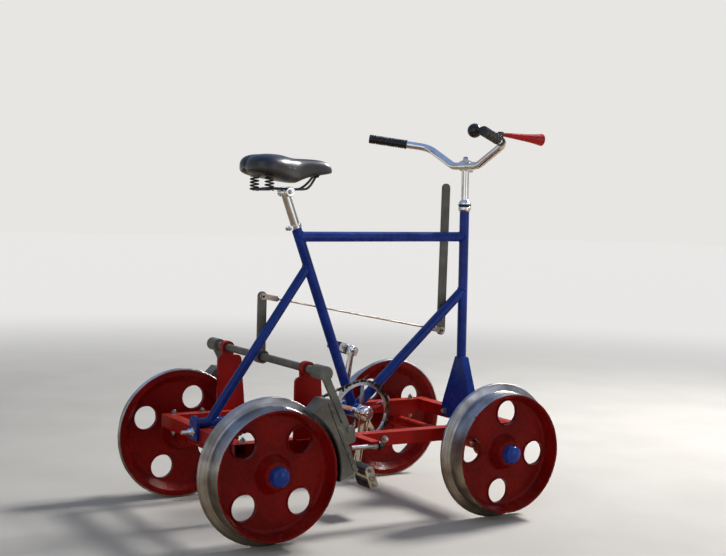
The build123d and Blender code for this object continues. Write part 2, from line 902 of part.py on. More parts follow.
sprocket_plane = Plane(origin=(rear_hub.X, chain_y, rear_hub.Z), x_dir=(1, 0, 0), z_dir=(0, -1, 0))
sprocket_start = ring_arc + straight_run
first_pin = ceil(sprocket_start / link_step) * link_step
sprocket_phase = tangent_low - (first_pin + link_step / 2 - sprocket_start) / sprocket_radius
with BuildPart() as rear_sprocket:
    with BuildSketch(sprocket_plane.offset(-tooth_thickness / 2)):
        toothed_outline(sprocket_teeth, sprocket_radius, sprocket_phase)
        Circle(axle_radius, mode=Mode.SUBTRACT)
    extrude(amount=tooth_thickness)
    with BuildSketch(sprocket_plane.offset(-sprocket_hub_length)):
        Circle(axle_radius + sprocket_hub_wall)
        Circle(axle_radius, mode=Mode.SUBTRACT)
    extrude(amount=sprocket_hub_length)
save(rear_sprocket.part, "rear_sprocket")

# cranks and pedals
boss_inner_y = -chain_y + arm_thickness / 2
boss_outer_y = crank_y + crank_thickness / 2 + crank_boss_stand
save(
    cross_rod(shell_x, shell_centre.Z, -boss_outer_y + 4, boss_outer_y - 4, spindle_radius),
    "crank_spindle",
)
pedal_inner_y = crank_y + crank_thickness / 2 + pedal_clear
pedal_outer_y = pedal_inner_y + pedal_length
crank_table = [
    # name, side, turn of the arm from straight up, tip of the pedal forwards
    ("right", -1, 180 + crank_turn, 70),
    ("left", 1, crank_turn, 20),
]
for name, side, turn, pedal_tip in crank_table:
    eye = shell_centre + Vector(sin(radians(turn)), 0, cos(radians(turn))) * crank_length
    centre_plane = Plane(origin=(shell_x, 0, shell_centre.Z), x_dir=(1, 0, 0), z_dir=(0, side, 0))
    arm_angle = Location((0, 0, 0), (0, 0, side * (turn - 90)))
    with BuildPart() as crank:
        with BuildSketch(centre_plane.offset(crank_y - crank_thickness / 2)):
            with Locations(arm_angle):
                Polygon(
                    (0, -crank_root / 2),
                    (crank_length, -crank_tip / 2),
                    (crank_length, crank_tip / 2),
                    (0, crank_root / 2),
                    align=None,
                )
                with Locations((crank_length, 0)):
                    Circle(eye_radius)
        extrude(amount=crank_thickness)
        with BuildSketch(centre_plane.offset(boss_inner_y)):
            Circle(crank_boss_radius)
        extrude(amount=boss_outer_y - boss_inner_y, taper=3)
        with BuildSketch(centre_plane.offset(boss_inner_y)):
            Circle(spindle_radius)
        extrude(amount=boss_outer_y - boss_inner_y - 4, mode=Mode.SUBTRACT)
    save(crank.part, f"crank_{name}")

    pin_start = crank_y + crank_thickness / 2
    save(
        cross_rod(eye.X, eye.Z, side * pin_start, side * (pedal_outer_y - pedal_plate), pedal_pin_radius),
        f"pedal_spindle_{name}",
    )

    pedal_plane = Plane(
        origin=(eye.X, 0, eye.Z), x_dir=Vector(cos(radians(pedal_tip)), 0, -sin(radians(pedal_tip))),
        z_dir=(0, side, 0),
    )
    pad_middle = pedal_width / 2 - pedal_pad / 2
    with BuildPart() as pedal:
        for start in (pedal_inner_y, pedal_outer_y - pedal_plate):
            with BuildSketch(pedal_plane.offset(start)):
                RectangleRounded(pedal_width, pedal_height, pedal_height / 3)
            extrude(amount=pedal_plate)
        with BuildSketch(pedal_plane.offset(pedal_inner_y)):
            Circle(pedal_barrel)
        extrude(amount=pedal_length)
        with BuildSketch(pedal_plane.offset(pedal_inner_y)):
            Circle(pedal_pin_radius + running_gap)
        extrude(amount=pedal_length - pedal_plate + seat_gap, mode=Mode.SUBTRACT)
    save(pedal.part, f"pedal_{name}")

    with BuildPart() as pads:
        with BuildSketch(pedal_plane.offset(pedal_inner_y + pedal_plate)):
            for middle in (pad_middle, -pad_middle):
                with Locations((middle, 0)):
                    RectangleRounded(pedal_pad - 2, pedal_height - 3, 4)
        extrude(amount=pedal_length - 2 * pedal_plate)
    save(pads.part, f"pedal_pads_{name}")

# brake pedestals with ring bearings, and the cross shaft
shaft_x = -half_base + shaft_ahead
shaft_z = axle_z + shaft_rise
shaft_centre = Vector(shaft_x, 0, shaft_z)
shaft_half = wheel_face_y + shaft_overhang
bearing_y = rail_y + bearing_reach
with BuildPart() as brake_pedestals:
    with BuildSketch(Plane.XZ.offset(-rail_outer_y)) as plate:
        with BuildLine():
            Polyline(
                (shaft_x - pedestal_rear, frame_top),
                (shaft_x + pedestal_foot, frame_top),
                (shaft_x + pedestal_front, shaft_z - pedestal_shoulder),
                (shaft_x - pedestal_rear, shaft_z - pedestal_shoulder),
                close=True,
            )
        make_face()
        fillet(plate.vertices().group_by(Axis.Y)[-1], pedestal_round)
        with Locations((shaft_x, shaft_z - pedestal_shoulder / 2 - 2)):
            Rectangle(2 * bearing_radius - 3, pedestal_shoulder + 4)
        with Locations((shaft_x, shaft_z)):
            Circle(bearing_radius)
            Circle(shaft_radius + running_gap, mode=Mode.SUBTRACT)
    extrude(amount=pedestal_thickness)
    with BuildSketch(Plane.XZ.offset(-bearing_y - bearing_width / 2)):
        with Locations((shaft_x, shaft_z)):
            Circle(bearing_radius)
            Circle(shaft_radius + running_gap, mode=Mode.SUBTRACT)
    extrude(amount=bearing_width)
    mirror(about=Plane.XZ)
save(brake_pedestals.part, "brake_pedestals")
save(cross_rod(shaft_x, shaft_z, -shaft_half, shaft_half, shaft_radius), "brake_shaft")


def about_hub(angle, out):
    """Point at an angle about the rear hub, out from the brake block's concave face, as (x, z)."""
    reach = tread_radius + block_gap + out
    return (rear_hub.X + reach * cos(radians(angle)), rear_hub.Z + reach * sin(radians(angle)))


# hanging arms with their hubs
hanger_y = wheel_face_y - hanger_setback
pin_place = about_hub(pin_angle, pin_out)
hanger_pin = Vector(pin_place[0], 0, pin_place[1])
hanger_run = hanger_pin - shaft_centre
hanger_plane = Plane(
    origin=(shaft_x, hanger_y - hanger_thickness / 2, shaft_z), x_dir=hanger_run, z_dir=(0, 1, 0)
)
with BuildPart() as brake_hangers:
    with BuildSketch(hanger_plane):
        Polygon(
            (0, hanger_root / 2),
            (hanger_run.length, hanger_tip / 2),
            (hanger_run.length, -hanger_tip / 2),
            (0, -hanger_root / 2),
            align=None,
        )
        with Locations((hanger_run.length, 0)):
            Circle(hanger_tip / 2)
            Circle(pin_radius, mode=Mode.SUBTRACT)
    extrude(amount=hanger_thickness)
    with BuildSketch(Plane.XZ.offset(-shaft_half)):
        with Locations((shaft_x, shaft_z)):
            Circle(hub_radius)
    extrude(amount=hub_length)
    with BuildSketch(Plane.XZ.offset(-shaft_half)):
        with Locations((shaft_x, shaft_z)):
            Circle(shaft_radius)
    extrude(amount=hub_length, mode=Mode.SUBTRACT)
    mirror(about=Plane.XZ)
save(brake_hangers.part, "brake_hangers")


# brake blocks: concave face along the tread, grooved back, ears and pin for the hanger
block_heel = about_hub(heel_angle, 0)
block_toe = about_hub(toe_angle, block_depth)
block_shoulder = about_hub(shoulder_angle, block_crown)
block_top = about_hub(top_angle, block_crown - 10)
block_inner_y = wheel_face_y - block_width
back_run = Vector(block_toe[0] - block_shoulder[0], block_toe[1] - block_shoulder[1])
ear_start = hanger_y - hanger_thickness / 2 - ear_thickness
ear_corners = [
    # behind the pin, above the pin
    (-32, 19),
    (17, 4),
    (20, -32),
    (7, -38),
    (-12, -38),
]
with BuildPart() as brake_blocks:
    with BuildSketch(Plane.XZ.offset(-wheel_face_y)):
        with BuildLine():
            Polyline(about_hub(crown_angle, 0), block_top, block_shoulder, block_toe, block_heel)
            RadiusArc(block_heel, about_hub(crown_angle, 0), -(tread_radius + block_gap))
        make_face()
    extrude(amount=block_width)
    for groove_y in (block_inner_y + block_width * 0.3, ear_start - groove_width - 3):
        with BuildSketch(Plane.XZ.offset(-groove_y)):
            with Locations(Location((block_shoulder[0], block_shoulder[1]))):
                with Locations(Location((0, 0, 0), (0, 0, degrees(atan2(back_run.Y, back_run.X))))):
                    with Locations((back_run.length / 2, 0)):
                        Rectangle(back_run.length * 1.2, 2 * groove_depth)
        extrude(amount=-groove_width, mode=Mode.SUBTRACT)
    for start in (ear_start, hanger_y + hanger_thickness / 2):
        with BuildSketch(Plane.XZ.offset(-start)) as ear:
            with Locations((hanger_pin.X, hanger_pin.Z)):
                Polygon(*ear_corners, align=None)
            fillet(ear.vertices(), ear_round)
        extrude(amount=-ear_thickness)
    with BuildSketch(Plane.XZ.offset(-ear_start)):
        with Locations((hanger_pin.X, hanger_pin.Z)):
            Circle(pin_radius)
    extrude(amount=-hanger_thickness - 2 * ear_thickness)
    mirror(about=Plane.XZ)
save(brake_blocks.part, "brake_blocks")

# pull arm on its collar
pull_pin = shaft_centre + Vector(0, link_y, pull_length)
pull_pin_half = link_thickness / 2 + fork_gap + fork_ear + 3
with BuildPart() as pull_arm:
    with BuildSketch(Plane.XZ.offset(-link_y - link_thickness / 2)):
        with Locations((shaft_x, shaft_z + pull_length / 2)):
            SlotCenterToCenter(pull_length, pull_width, rotation=90)
    extrude(amount=link_thickness)
    with BuildSketch(Plane.XZ.offset(-link_y - collar_length / 2)):
        with Locations((shaft_x, shaft_z)):
            Circle(collar_radius)
    extrude(amount=collar_length)
    with BuildSketch(Plane.XZ.offset(-link_y - collar_length / 2)):
        with Locations((shaft_x, shaft_z)):
            Circle(shaft_radius)
    extrude(amount=collar_length, mode=Mode.SUBTRACT)
    with BuildSketch(Plane.XZ.offset(-link_y - pull_pin_half)):
        with Locations((pull_pin.X, pull_pin.Z)):
            Circle(pull_pin_radius)
    extrude(amount=2 * pull_pin_half)
save(pull_arm.part, "pull_arm")

# hand lever, with the pin that the rod's front eye rides on
down_share = (front_beam_x - head_behind_beam - lever_behind - shell_x) / (down_front.X - shell_x)
lever_pivot = shell_centre + (down_front - shell_centre) * down_share
lever_pin = lever_pivot - Vector(4, 0, lever_arm)
lever_end = lever_pivot + Vector(-1, 0, lever_reach - lever_width / 2)
lever_run = lever_end - lever_pin
lever_middle = (lever_pin + lever_end) / 2
with BuildPart() as brake_lever:
    with BuildSketch(Plane.XZ.offset(-link_y - link_thickness / 2)):
        with Locations((lever_middle.X, lever_middle.Z)):
            lever_tilt = degrees(atan2(lever_run.Z, lever_run.X))
            SlotCenterToCenter(lever_run.length, lever_width, rotation=lever_tilt)
        with Locations((lever_pivot.X, lever_pivot.Z)):
            Circle(lever_pivot_radius + running_gap, mode=Mode.SUBTRACT)
    extrude(amount=link_thickness)
    with BuildSketch(Plane.XZ.offset(-link_y - pull_pin_half)):
        with Locations((lever_pin.X, lever_pin.Z)):
            Circle(pull_pin_radius)
    extrude(amount=2 * pull_pin_half)
save(brake_lever.part, "brake_lever")

# pivot bolt on the down tube: boss, bolt and nut
pivot_plane = Plane(origin=(lever_pivot.X, 0, lever_pivot.Z), z_dir=(0, 1, 0))
nut_start = link_y + link_thickness / 2 + seat_gap
with BuildPart() as lever_bolt:
    with BuildSketch(pivot_plane):
        Circle(2 * lever_pivot_radius)
    extrude(amount=link_y - link_thickness / 2 - seat_gap)
    with BuildSketch(pivot_plane):
        Circle(lever_pivot_radius)
    extrude(amount=nut_start + 9)
    with BuildSketch(pivot_plane.offset(nut_start)):
        RegularPolygon(lever_pivot_radius * 1.8, 6)
    extrude(amount=7)
    add(down_body, mode=Mode.SUBTRACT)
save(lever_bolt.part, "lever_bolt")

# rod with a fork at each end
rod_back = pull_pin
rod_front = lever_pin + Vector(0, link_y, 0)
rod_run = rod_front - rod_back
rod_plane = Plane(origin=rod_back, x_dir=rod_run, z_dir=(0, 1, 0))
fork_half = link_thickness / 2 + fork_gap + fork_ear
fork_ends = ((0, 1), (rod_run.length, -1))
with BuildPart() as brake_rod:
    with BuildSketch(rod_plane.offset(-fork_half)):
        for end, inwards in fork_ends:
            with Locations((end + inwards * fork_length / 2, 0)):
                Rectangle(fork_length, 1.5 * fork_radius)
            with Locations((end, 0)):
                Circle(fork_radius)
    extrude(amount=2 * fork_half)
    with BuildSketch(rod_plane.offset(-link_thickness / 2 - fork_gap)):
        for end, inwards in fork_ends:
            with Locations((end + inwards * (fork_slot - fork_radius) / 2, 0)):
                Rectangle(fork_slot + fork_radius, 3 * fork_radius)
    extrude(amount=link_thickness + 2 * fork_gap, mode=Mode.SUBTRACT)
    with BuildSketch(rod_plane.offset(-fork_half)):
        Circle(pull_pin_radius + running_gap)
        with Locations((rod_run.length, 0)):
            Circle(pull_pin_radius + eye_gap)
    extrude(amount=2 * fork_half, mode=Mode.SUBTRACT)
    shank = rod_run.normalized() * (fork_length - 4)
    with BuildSketch(Plane(origin=rod_back + shank, z_dir=rod_run)):
        Circle(rod_radius)
    extrude(amount=rod_run.length - 2 * fork_length + 8)
    for end, inwards in fork_ends:
        nut_middle = rod_back + rod_run.normalized() * (end + inwards * (fork_length + 3))
        with BuildSketch(Plane(origin=nut_middle, z_dir=rod_run)):
            RegularPolygon(2 * rod_radius, 6)
        extrude(amount=3, both=True)
save(brake_rod.part, "brake_rod")

# release stops: angle outriggers on the rails, each with a long bolt behind the block
stop_x = block_toe[0] + stop_ahead
stop_reach = hanger_y + stop_rod_radius
with BuildPart() as brake_stops:
    with BuildSketch(Plane(origin=(stop_x, rail_outer_y, frame_top), x_dir=(1, 0, 0), z_dir=(0, 1, 0))):
        with Locations((0, stop_wall / 2)):
            Rectangle(stop_width, stop_wall)
        with Locations((stop_width / 2 - stop_wall / 2, stop_width / 2)):
            Rectangle(stop_wall, stop_width)
    extrude(amount=stop_reach - rail_outer_y)
    mirror(about=Plane.XZ)
save(brake_stops.part, "brake_stops")

stop_z = frame_top - stop_rod_drop
stop_face = stop_x + stop_width / 2 - stop_wall
back_lean = (block_toe[0] - block_shoulder[0]) / (block_shoulder[1] - block_toe[1])
block_back = block_shoulder[0] + (block_shoulder[1] - stop_z) * back_lean
stop_tip = block_back + stop_rod_radius * back_lean + stop_gap
with BuildPart() as stop_bolts:
    with BuildSketch(Plane(origin=(stop_tip, hanger_y, stop_z), z_dir=(1, 0, 0))):
        Circle(stop_rod_radius)
    extrude(amount=stop_face - stop_tip)
    with BuildSketch(Plane(origin=(stop_face - stop_nut, hanger_y, stop_z), z_dir=(1, 0, 0))):
        RegularPolygon(stop_rod_radius * 1.5, 6)
    extrude(amount=stop_nut)
    mirror(about=Plane.XZ)
save(stop_bolts.part, "stop_bolts")
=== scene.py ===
"""Finish of the pedal railway handcar: materials, small pieces, light and camera.

Metres, in the same frame as the solids: X forward, Y to the left, Z up.
"""

import json
from math import asin, atan2, ceil, copysign, cos, pi, radians, sin, sqrt

import bmesh
import bpy
from mathutils import Matrix, Vector


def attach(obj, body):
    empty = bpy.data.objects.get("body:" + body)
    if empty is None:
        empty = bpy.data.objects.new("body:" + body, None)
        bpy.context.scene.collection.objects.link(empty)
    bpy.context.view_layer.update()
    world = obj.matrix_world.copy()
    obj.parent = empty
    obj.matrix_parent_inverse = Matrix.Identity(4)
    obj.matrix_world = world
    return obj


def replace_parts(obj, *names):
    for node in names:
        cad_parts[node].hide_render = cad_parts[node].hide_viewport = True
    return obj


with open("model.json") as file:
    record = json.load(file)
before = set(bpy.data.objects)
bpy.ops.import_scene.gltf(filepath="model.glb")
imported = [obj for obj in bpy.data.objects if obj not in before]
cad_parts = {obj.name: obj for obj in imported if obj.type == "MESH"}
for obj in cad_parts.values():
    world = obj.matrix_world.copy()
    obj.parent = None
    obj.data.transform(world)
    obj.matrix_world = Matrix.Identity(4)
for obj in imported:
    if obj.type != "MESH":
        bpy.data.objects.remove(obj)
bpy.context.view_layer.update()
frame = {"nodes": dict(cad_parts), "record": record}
scene = bpy.context.scene

along_x = Vector((1, 0, 0))
along_y = Vector((0, 1, 0))
upright = Vector((0, 0, 1))

# camera, from the photograph's solved view
image_width = 726
focal_pixels = 1203.5
camera_place = Vector((-1.693, -2.948, 0.844))
camera_heading = 1.03042
camera_pitch = -0.05548
camera_roll = 0.02896

# sizes repeated from the solids: wheels and chassis
half_base = 0.357
axle_z = 0.188
rim_face_radius = 0.16412
flange_edge_radius = 0.183
flange_back_y = 0.277
hub_face_y = 0.338
frame_top = 0.254
frame_bottom = 0.219
rail_y = 0.228
rail_outer_y = 0.2455
beam_back = -0.430
tail_face = -0.438
tail_stud_z = 0.245

# frame
tube_radius = 0.0143
stay_radius = 0.013
shell_radius = 0.020
shell = Vector((0.056, 0, 0.275))
seat_high = Vector((-0.1442, 0, 0.7926))
head_foot = Vector((0.430, 0, 0.413))
head_top = Vector((0.4239, 0, 0.852))
seat_axis = (seat_high - shell).normalized()
head_axis = (head_top - head_foot).normalized()
top_rear = seat_high - seat_axis * 0.026
top_front = head_top - head_axis * 0.076
down_front = head_top - head_axis * 0.236
stay_high = seat_high - seat_axis * 0.112
stay_low = Vector((-0.393, 0, 0.267))

# saddle, handlebar and horn
post_tip = seat_high + seat_axis * 0.103
saddle_rear = post_tip.x - 0.126
spring_x = saddle_rear + 0.055
spring_half = 0.046
bar_middle = head_top + head_axis * 0.136
knee_left = bar_middle + Vector((-0.005, 0.193, 0.059))
end_left = bar_middle + Vector((-0.155, 0.296, 0.082))
horn_low = Vector((bar_middle.x - 0.036, -0.216, bar_middle.z + 0.0835))
horn_run = Vector((0.146, 0, -0.008)).normalized()
horn_length = 0.146

# drive
chain_pitch = 0.0127
chain_y = -0.045
ring_teeth = 44
sprocket_teeth = 18
crank_y = 0.066
crank_face_y = 0.0783
crank_length = 0.166
pedal_inner_y = 0.0785
pedal_outer_y = 0.1545
pedal_pad_middle = 0.022

# brake
shaft = Vector((-0.232, 0, 0.437))
lever_pin = Vector((0.367, 0, 0.4934))
pull_pin = Vector((-0.232, 0, 0.603))
hanger_pin = Vector((-0.160, 0, 0.293))
link_y = 0.023
block_shoulder = Vector((-0.21505, 0, 0.37098))
block_toe = Vector((-0.13102, 0, 0.18484))
block_face_y = 0.3488

# sizes of the small pieces
frame_bolt = 0.013
thread_pitch = 0.0012
tube_bead = 0.0024
stay_bead = 0.0022
wire_radius = 0.0034


def make_camera():
    """Camera at the photograph's angle."""
    flat = cos(camera_pitch)
    forward = Vector(
        (flat * cos(camera_heading), flat * sin(camera_heading), sin(camera_pitch))
    )
    level = forward.cross(upright).normalized()
    lift = level.cross(forward)
    right = level * cos(camera_roll) + lift * sin(camera_roll)
    up = lift * cos(camera_roll) - level * sin(camera_roll)
    data = bpy.data.cameras.new("camera")
    data.sensor_width = 36
    data.lens = focal_pixels * data.sensor_width / image_width
    camera = bpy.data.objects.new("camera", data)
    turned_to = Matrix((right, up, -forward)).transposed().to_4x4()
    camera.matrix_world = Matrix.Translation(camera_place) @ turned_to
    scene.collection.objects.link(camera)
    scene.camera = camera


make_camera()

finishes = {}


class Finish:
    """A procedural material in the part's own coordinates, listed under its name."""

    def __init__(self, name):
        self.material = bpy.data.materials.new(name)
        self.material.use_nodes = True
        self.tree = self.material.node_tree
        self.shader = self.tree.nodes["Principled BSDF"]
        self.place = self.node("ShaderNodeTexCoord").outputs["Object"]
        finishes[name] = self.material

    def node(self, kind, **settings):
        """A new node with its settings."""
        made = self.tree.nodes.new(kind)
        for setting, value in settings.items():
            setattr(made, setting, value)
        return made

    def feed(self, socket, value):
        """Joins one socket to another, or sets its constant."""
        if isinstance(value, bpy.types.NodeSocket):
            self.tree.links.new(value, socket)
        elif socket.type == "RGBA":
            socket.default_value = (*value, 1)
        else:
            socket.default_value = value

    def sets(self, **values):
        """Sets the shader's own sockets; an underscore stands for a space."""
        for name, value in values.items():
            self.feed(self.shader.inputs[name.replace("_", " ")], value)

    def maths(self, operation, first, second=0.0):
        """One sum on numbers."""
        made = self.node("ShaderNodeMath", operation=operation)
        for socket, value in zip(made.inputs, (first, second)):
            self.feed(socket, value)
        return made.outputs[0]

    def times(self, first, second):
        """Product of two numbers."""
        return self.maths("MULTIPLY", first, second)

    def plus(self, first, second):
        """Sum of two numbers."""
        return self.maths("ADD", first, second)

    def noise(self, scale, detail=3.0, stretch=(1, 1, 1), vector=None):
        """Cloudy noise from 0 to 1."""
        mapping = self.node("ShaderNodeMapping")
        self.feed(mapping.inputs["Vector"], vector or self.place)
        mapping.inputs["Scale"].default_value = stretch
        made = self.node("ShaderNodeTexNoise")
        self.feed(made.inputs["Vector"], mapping.outputs[0])
        self.feed(made.inputs["Scale"], scale)
        self.feed(made.inputs["Detail"], detail)
        return made.outputs["Fac"]

    def cells(self, scale):
        """Soft cell pattern: distance to the nearest centre."""
        made = self.node("ShaderNodeTexVoronoi", feature="SMOOTH_F1")
        self.feed(made.inputs["Vector"], self.place)
        self.feed(made.inputs["Scale"], scale)
        return made.outputs["Distance"]

    def span(self, value, low, high, start=0.0, end=1.0):
        """Value carried from one range to another, held inside it."""
        made = self.node("ShaderNodeMapRange", interpolation_type="SMOOTHSTEP")
        names = ("Value", "From Min", "From Max", "To Min", "To Max")
        for name, given in zip(names, (value, low, high, start, end)):
            self.feed(made.inputs[name], given)
        return made.outputs["Result"]

    def clouds(self, scale, detail, low, high, start=0.0, end=1.0, stretch=(1, 1, 1)):
        """Patches of noise with soft borders, from start to end."""
        return self.span(self.noise(scale, detail, stretch), low, high, start, end)

    def mixed(self, factor, first, second):
        """Two colours mixed by a factor."""
        made = self.node("ShaderNodeMix", data_type="RGBA")
        self.feed(made.inputs[0], factor)
        self.feed(made.inputs[6], first)
        self.feed(made.inputs[7], second)
        return made.outputs[2]

    def axes(self):
        """The three coordinates as separate sockets."""
        made = self.node("ShaderNodeSeparateXYZ")
        self.feed(made.inputs[0], self.place)
        return made.outputs

    def from_axle(self, axle_x):
        """Distance from an axle's line, and distance from the middle plane."""
        x, y, z = self.axes()
        across = self.maths("SUBTRACT", x, axle_x)
        above = self.maths("SUBTRACT", z, axle_z)
        squares = self.plus(self.times(across, across), self.times(above, above))
        return self.maths("SQRT", squares), self.maths("ABSOLUTE", y)

    def facing_up(self):
        """1 on surfaces that face the sky."""
        geometry = self.node("ShaderNodeNewGeometry")
        made = self.node("ShaderNodeSeparateXYZ")
        self.feed(made.inputs[0], geometry.outputs["Normal"])
        return self.span(made.outputs["Z"], 0.35, 0.95)

    def edges(self, radius):
        """1 along sharp edges, 0 on flats."""
        bevel = self.node("ShaderNodeBevel", samples=4)
        self.feed(bevel.inputs["Radius"], radius)
        geometry = self.node("ShaderNodeNewGeometry")
        dot = self.node("ShaderNodeVectorMath", operation="DOT_PRODUCT")
        self.feed(dot.inputs[0], bevel.outputs["Normal"])
        self.feed(dot.inputs[1], geometry.outputs["Normal"])
        return self.span(dot.outputs["Value"], 0.995, 0.86)

    def bump(self, height, depth, strength=1.0):
        """Raises the surface by a pattern; depth in metres. Later calls add to earlier ones."""
        made = self.node("ShaderNodeBump")
        self.feed(made.inputs["Height"], height)
        self.feed(made.inputs["Distance"], depth)
        self.feed(made.inputs["Strength"], strength)
        normal = self.shader.inputs["Normal"]
        if normal.is_linked:
            self.feed(made.inputs["Normal"], normal.links[0].from_socket)
        self.feed(normal, made.outputs[0])


def paint(
    name,
    deep,
    light,
    mottle,
    gloss=0.34,
    chip=(0.05, 0.028, 0.02),
    texture=0.00012,
    wear=1.0,
    darkened=False,
    film=0.06,
):
    """Brushed enamel: uneven colour, a lighter tone in patches on its upper faces (settled dirt
    together with a painted sunlit top), chips along its edges, and where asked sooty streaks with
    painted shade against a tread.
    """
    coat = Finish(name)
    colour = coat.mixed(coat.clouds(14, 4, 0.35, 0.7), deep, light)
    # upper faces take a lighter tone in patches: dust, and a painted sunlit top
    dust_and_sunlit_top = coat.times(coat.facing_up(), coat.clouds(38, 5, 0.3, 0.75, 0.25, 0.6))
    colour = coat.mixed(dust_and_sunlit_top, colour, mottle)
    worn = coat.times(coat.edges(0.0018), coat.clouds(95, 4, 0.52, 0.62))
    worn = coat.maths("MAXIMUM", worn, coat.clouds(210, 3, 0.70, 0.73))
    worn = coat.maths("MINIMUM", coat.times(worn, wear), 1.0)
    colour = coat.mixed(worn, colour, chip)
    if darkened:
        # towards the rear axle's tread the face goes almost black: painted shade of the gap
        # between block and tread; the stretched streaks are soot
        near = coat.span(coat.from_axle(-half_base)[0], 0.180, 0.1735)
        streaks = coat.clouds(26, 4, 0.48, 0.75, 0.0, 0.45, stretch=(3, 1, 0.6))
        colour = coat.mixed(streaks, colour, (0.045, 0.038, 0.030))
        colour = coat.mixed(near, colour, (0.012, 0.011, 0.010))
    rough = coat.clouds(60, 3, 0.3, 0.7, gloss - 0.06, gloss + 0.12)
    rough = coat.plus(rough, coat.times(coat.maths("MAXIMUM", worn, dust_and_sunlit_top), 0.3))
    coat.sets(Base_Color=colour, Roughness=rough, Specular_IOR_Level=0.10)
    coat.sets(Coat_Weight=film, Coat_Roughness=0.10)
    coat.bump(coat.noise(330, 2), texture)
    coat.bump(coat.times(worn, -1.0), 0.00015)


def wheel_paint(name, axle_x):
    """Painted casting with a rolled steel tread, told apart by the distance from the axle."""
    coat = Finish(name)
    radius, out = coat.from_axle(axle_x)
    ragged = coat.times(coat.maths("SUBTRACT", coat.noise(55, 3), 0.5), 0.0012)
    edge = coat.plus(radius, ragged)
    past_rim = coat.maths("GREATER_THAN", edge, rim_face_radius)
    past_flange = coat.maths("GREATER_THAN", out, flange_back_y + 0.007)
    on_flange = coat.maths("GREATER_THAN", edge, flange_edge_radius)
    steel = coat.maths("MAXIMUM", coat.times(past_rim, past_flange), on_flange)

    colour = coat.mixed(
        coat.clouds(11, 4, 0.35, 0.7), (0.15, 0.0022, 0.002), (0.225, 0.0045, 0.003)
    )
    dirt = coat.clouds(42, 5, 0.52, 0.78, 0.0, 0.55)
    colour = coat.mixed(dirt, colour, (0.06, 0.006, 0.0045))
    # upward faces turn a lighter pinkish red in patches: painted sky light
    sky = coat.times(coat.facing_up(), coat.clouds(60, 4, 0.35, 0.75, 0.05, 0.35))
    colour = coat.mixed(sky, colour, (0.27, 0.065, 0.045))
    chips = coat.times(coat.edges(0.002), coat.clouds(120, 4, 0.53, 0.62))
    colour = coat.mixed(chips, colour, (0.06, 0.028, 0.02))

    rolled = coat.node("ShaderNodeCombineXYZ")
    coat.feed(rolled.inputs[0], out)
    coat.feed(rolled.inputs[1], radius)
    rings = coat.noise(420, 3, vector=rolled.outputs[0])
    # patches of soot on the tread
    darkened = coat.clouds(16, 4, 0.35, 0.72)
    bare = coat.mixed(coat.span(rings, 0.35, 0.65), (0.40, 0.39, 0.38), (0.66, 0.65, 0.65))
    bare = coat.mixed(coat.times(darkened, 0.75), bare, (0.17, 0.14, 0.11))
    colour = coat.mixed(steel, colour, bare)

    rough_paint = coat.clouds(70, 3, 0.3, 0.7, 0.22, 0.42)
    rough_steel = coat.plus(coat.span(rings, 0.3, 0.7, 0.24, 0.36), coat.times(darkened, 0.12))
    blend = coat.node("ShaderNodeMix", data_type="FLOAT")
    coat.feed(blend.inputs[0], steel)
    coat.feed(blend.inputs[2], rough_paint)
    coat.feed(blend.inputs[3], rough_steel)
    painted = coat.maths("SUBTRACT", 1.0, steel)
    coat.sets(Base_Color=colour, Metallic=steel, Roughness=blend.outputs[0])
    coat.sets(Coat_Weight=coat.times(painted, 0.07), Coat_Roughness=0.15)
    coat.sets(Specular_IOR_Level=0.09)
    coat.bump(coat.times(coat.noise(120, 4), painted), 0.0013, 0.9)
    coat.bump(coat.times(coat.noise(420, 2), painted), 0.00025)
    coat.bump(coat.times(rings, steel), 0.0001)


def metal(name, pale, dark, gloss, spread, stain=(0.16, 0.11, 0.07), stained=0.25):
    """Bare or plated metal with uneven polish and a little staining."""
    surface = Finish(name)
    colour = surface.mixed(surface.clouds(34, 4, 0.35, 0.7), dark, pale)
    spots = surface.clouds(150, 5, 0.60, 0.74, 0.0, stained)
    colour = surface.mixed(spots, colour, stain)
    lines = surface.noise(260, 3)
    rough = surface.span(lines, 0.3, 0.7, gloss, gloss + spread)
    rough = surface.plus(rough, surface.times(spots, 0.8))
    surface.sets(Base_Color=colour, Metallic=1.0, Roughness=rough)
    surface.bump(lines, 0.00003)


def rubber(name, colour, grey, gloss=0.5, scale=500):
    """Moulded rubber with a fine grain and powdery grey patches."""
    surface = Finish(name)
    mottle = surface.clouds(48, 5, 0.45, 0.8, 0.0, 0.5)
    top = surface.times(surface.facing_up(), 0.35)
    tint = surface.mixed(surface.maths("MAXIMUM", mottle, top), colour, grey)
    rough = surface.clouds(90, 3, 0.3, 0.7, gloss, gloss + 0.16)
    surface.sets(Base_Color=tint, Roughness=rough)
    surface.bump(surface.noise(scale, 2), 0.00012)


def vinyl(name):
    """Glossy grained cover of the saddle."""
    cover = Finish(name)
    patches = cover.clouds(22, 4, 0.4, 0.75)
    tint = cover.mixed(patches, (0.007, 0.007, 0.008), (0.02, 0.02, 0.023))
    grain = cover.cells(620)
    rough = cover.clouds(40, 4, 0.3, 0.7, 0.34, 0.46)
    cover.sets(Base_Color=tint, Roughness=rough, Coat_Weight=0.5, Coat_Roughness=0.28)
    cover.bump(grain, 0.00022, 0.5)
    cover.bump(cover.noise(24, 2), 0.0012, 0.4)
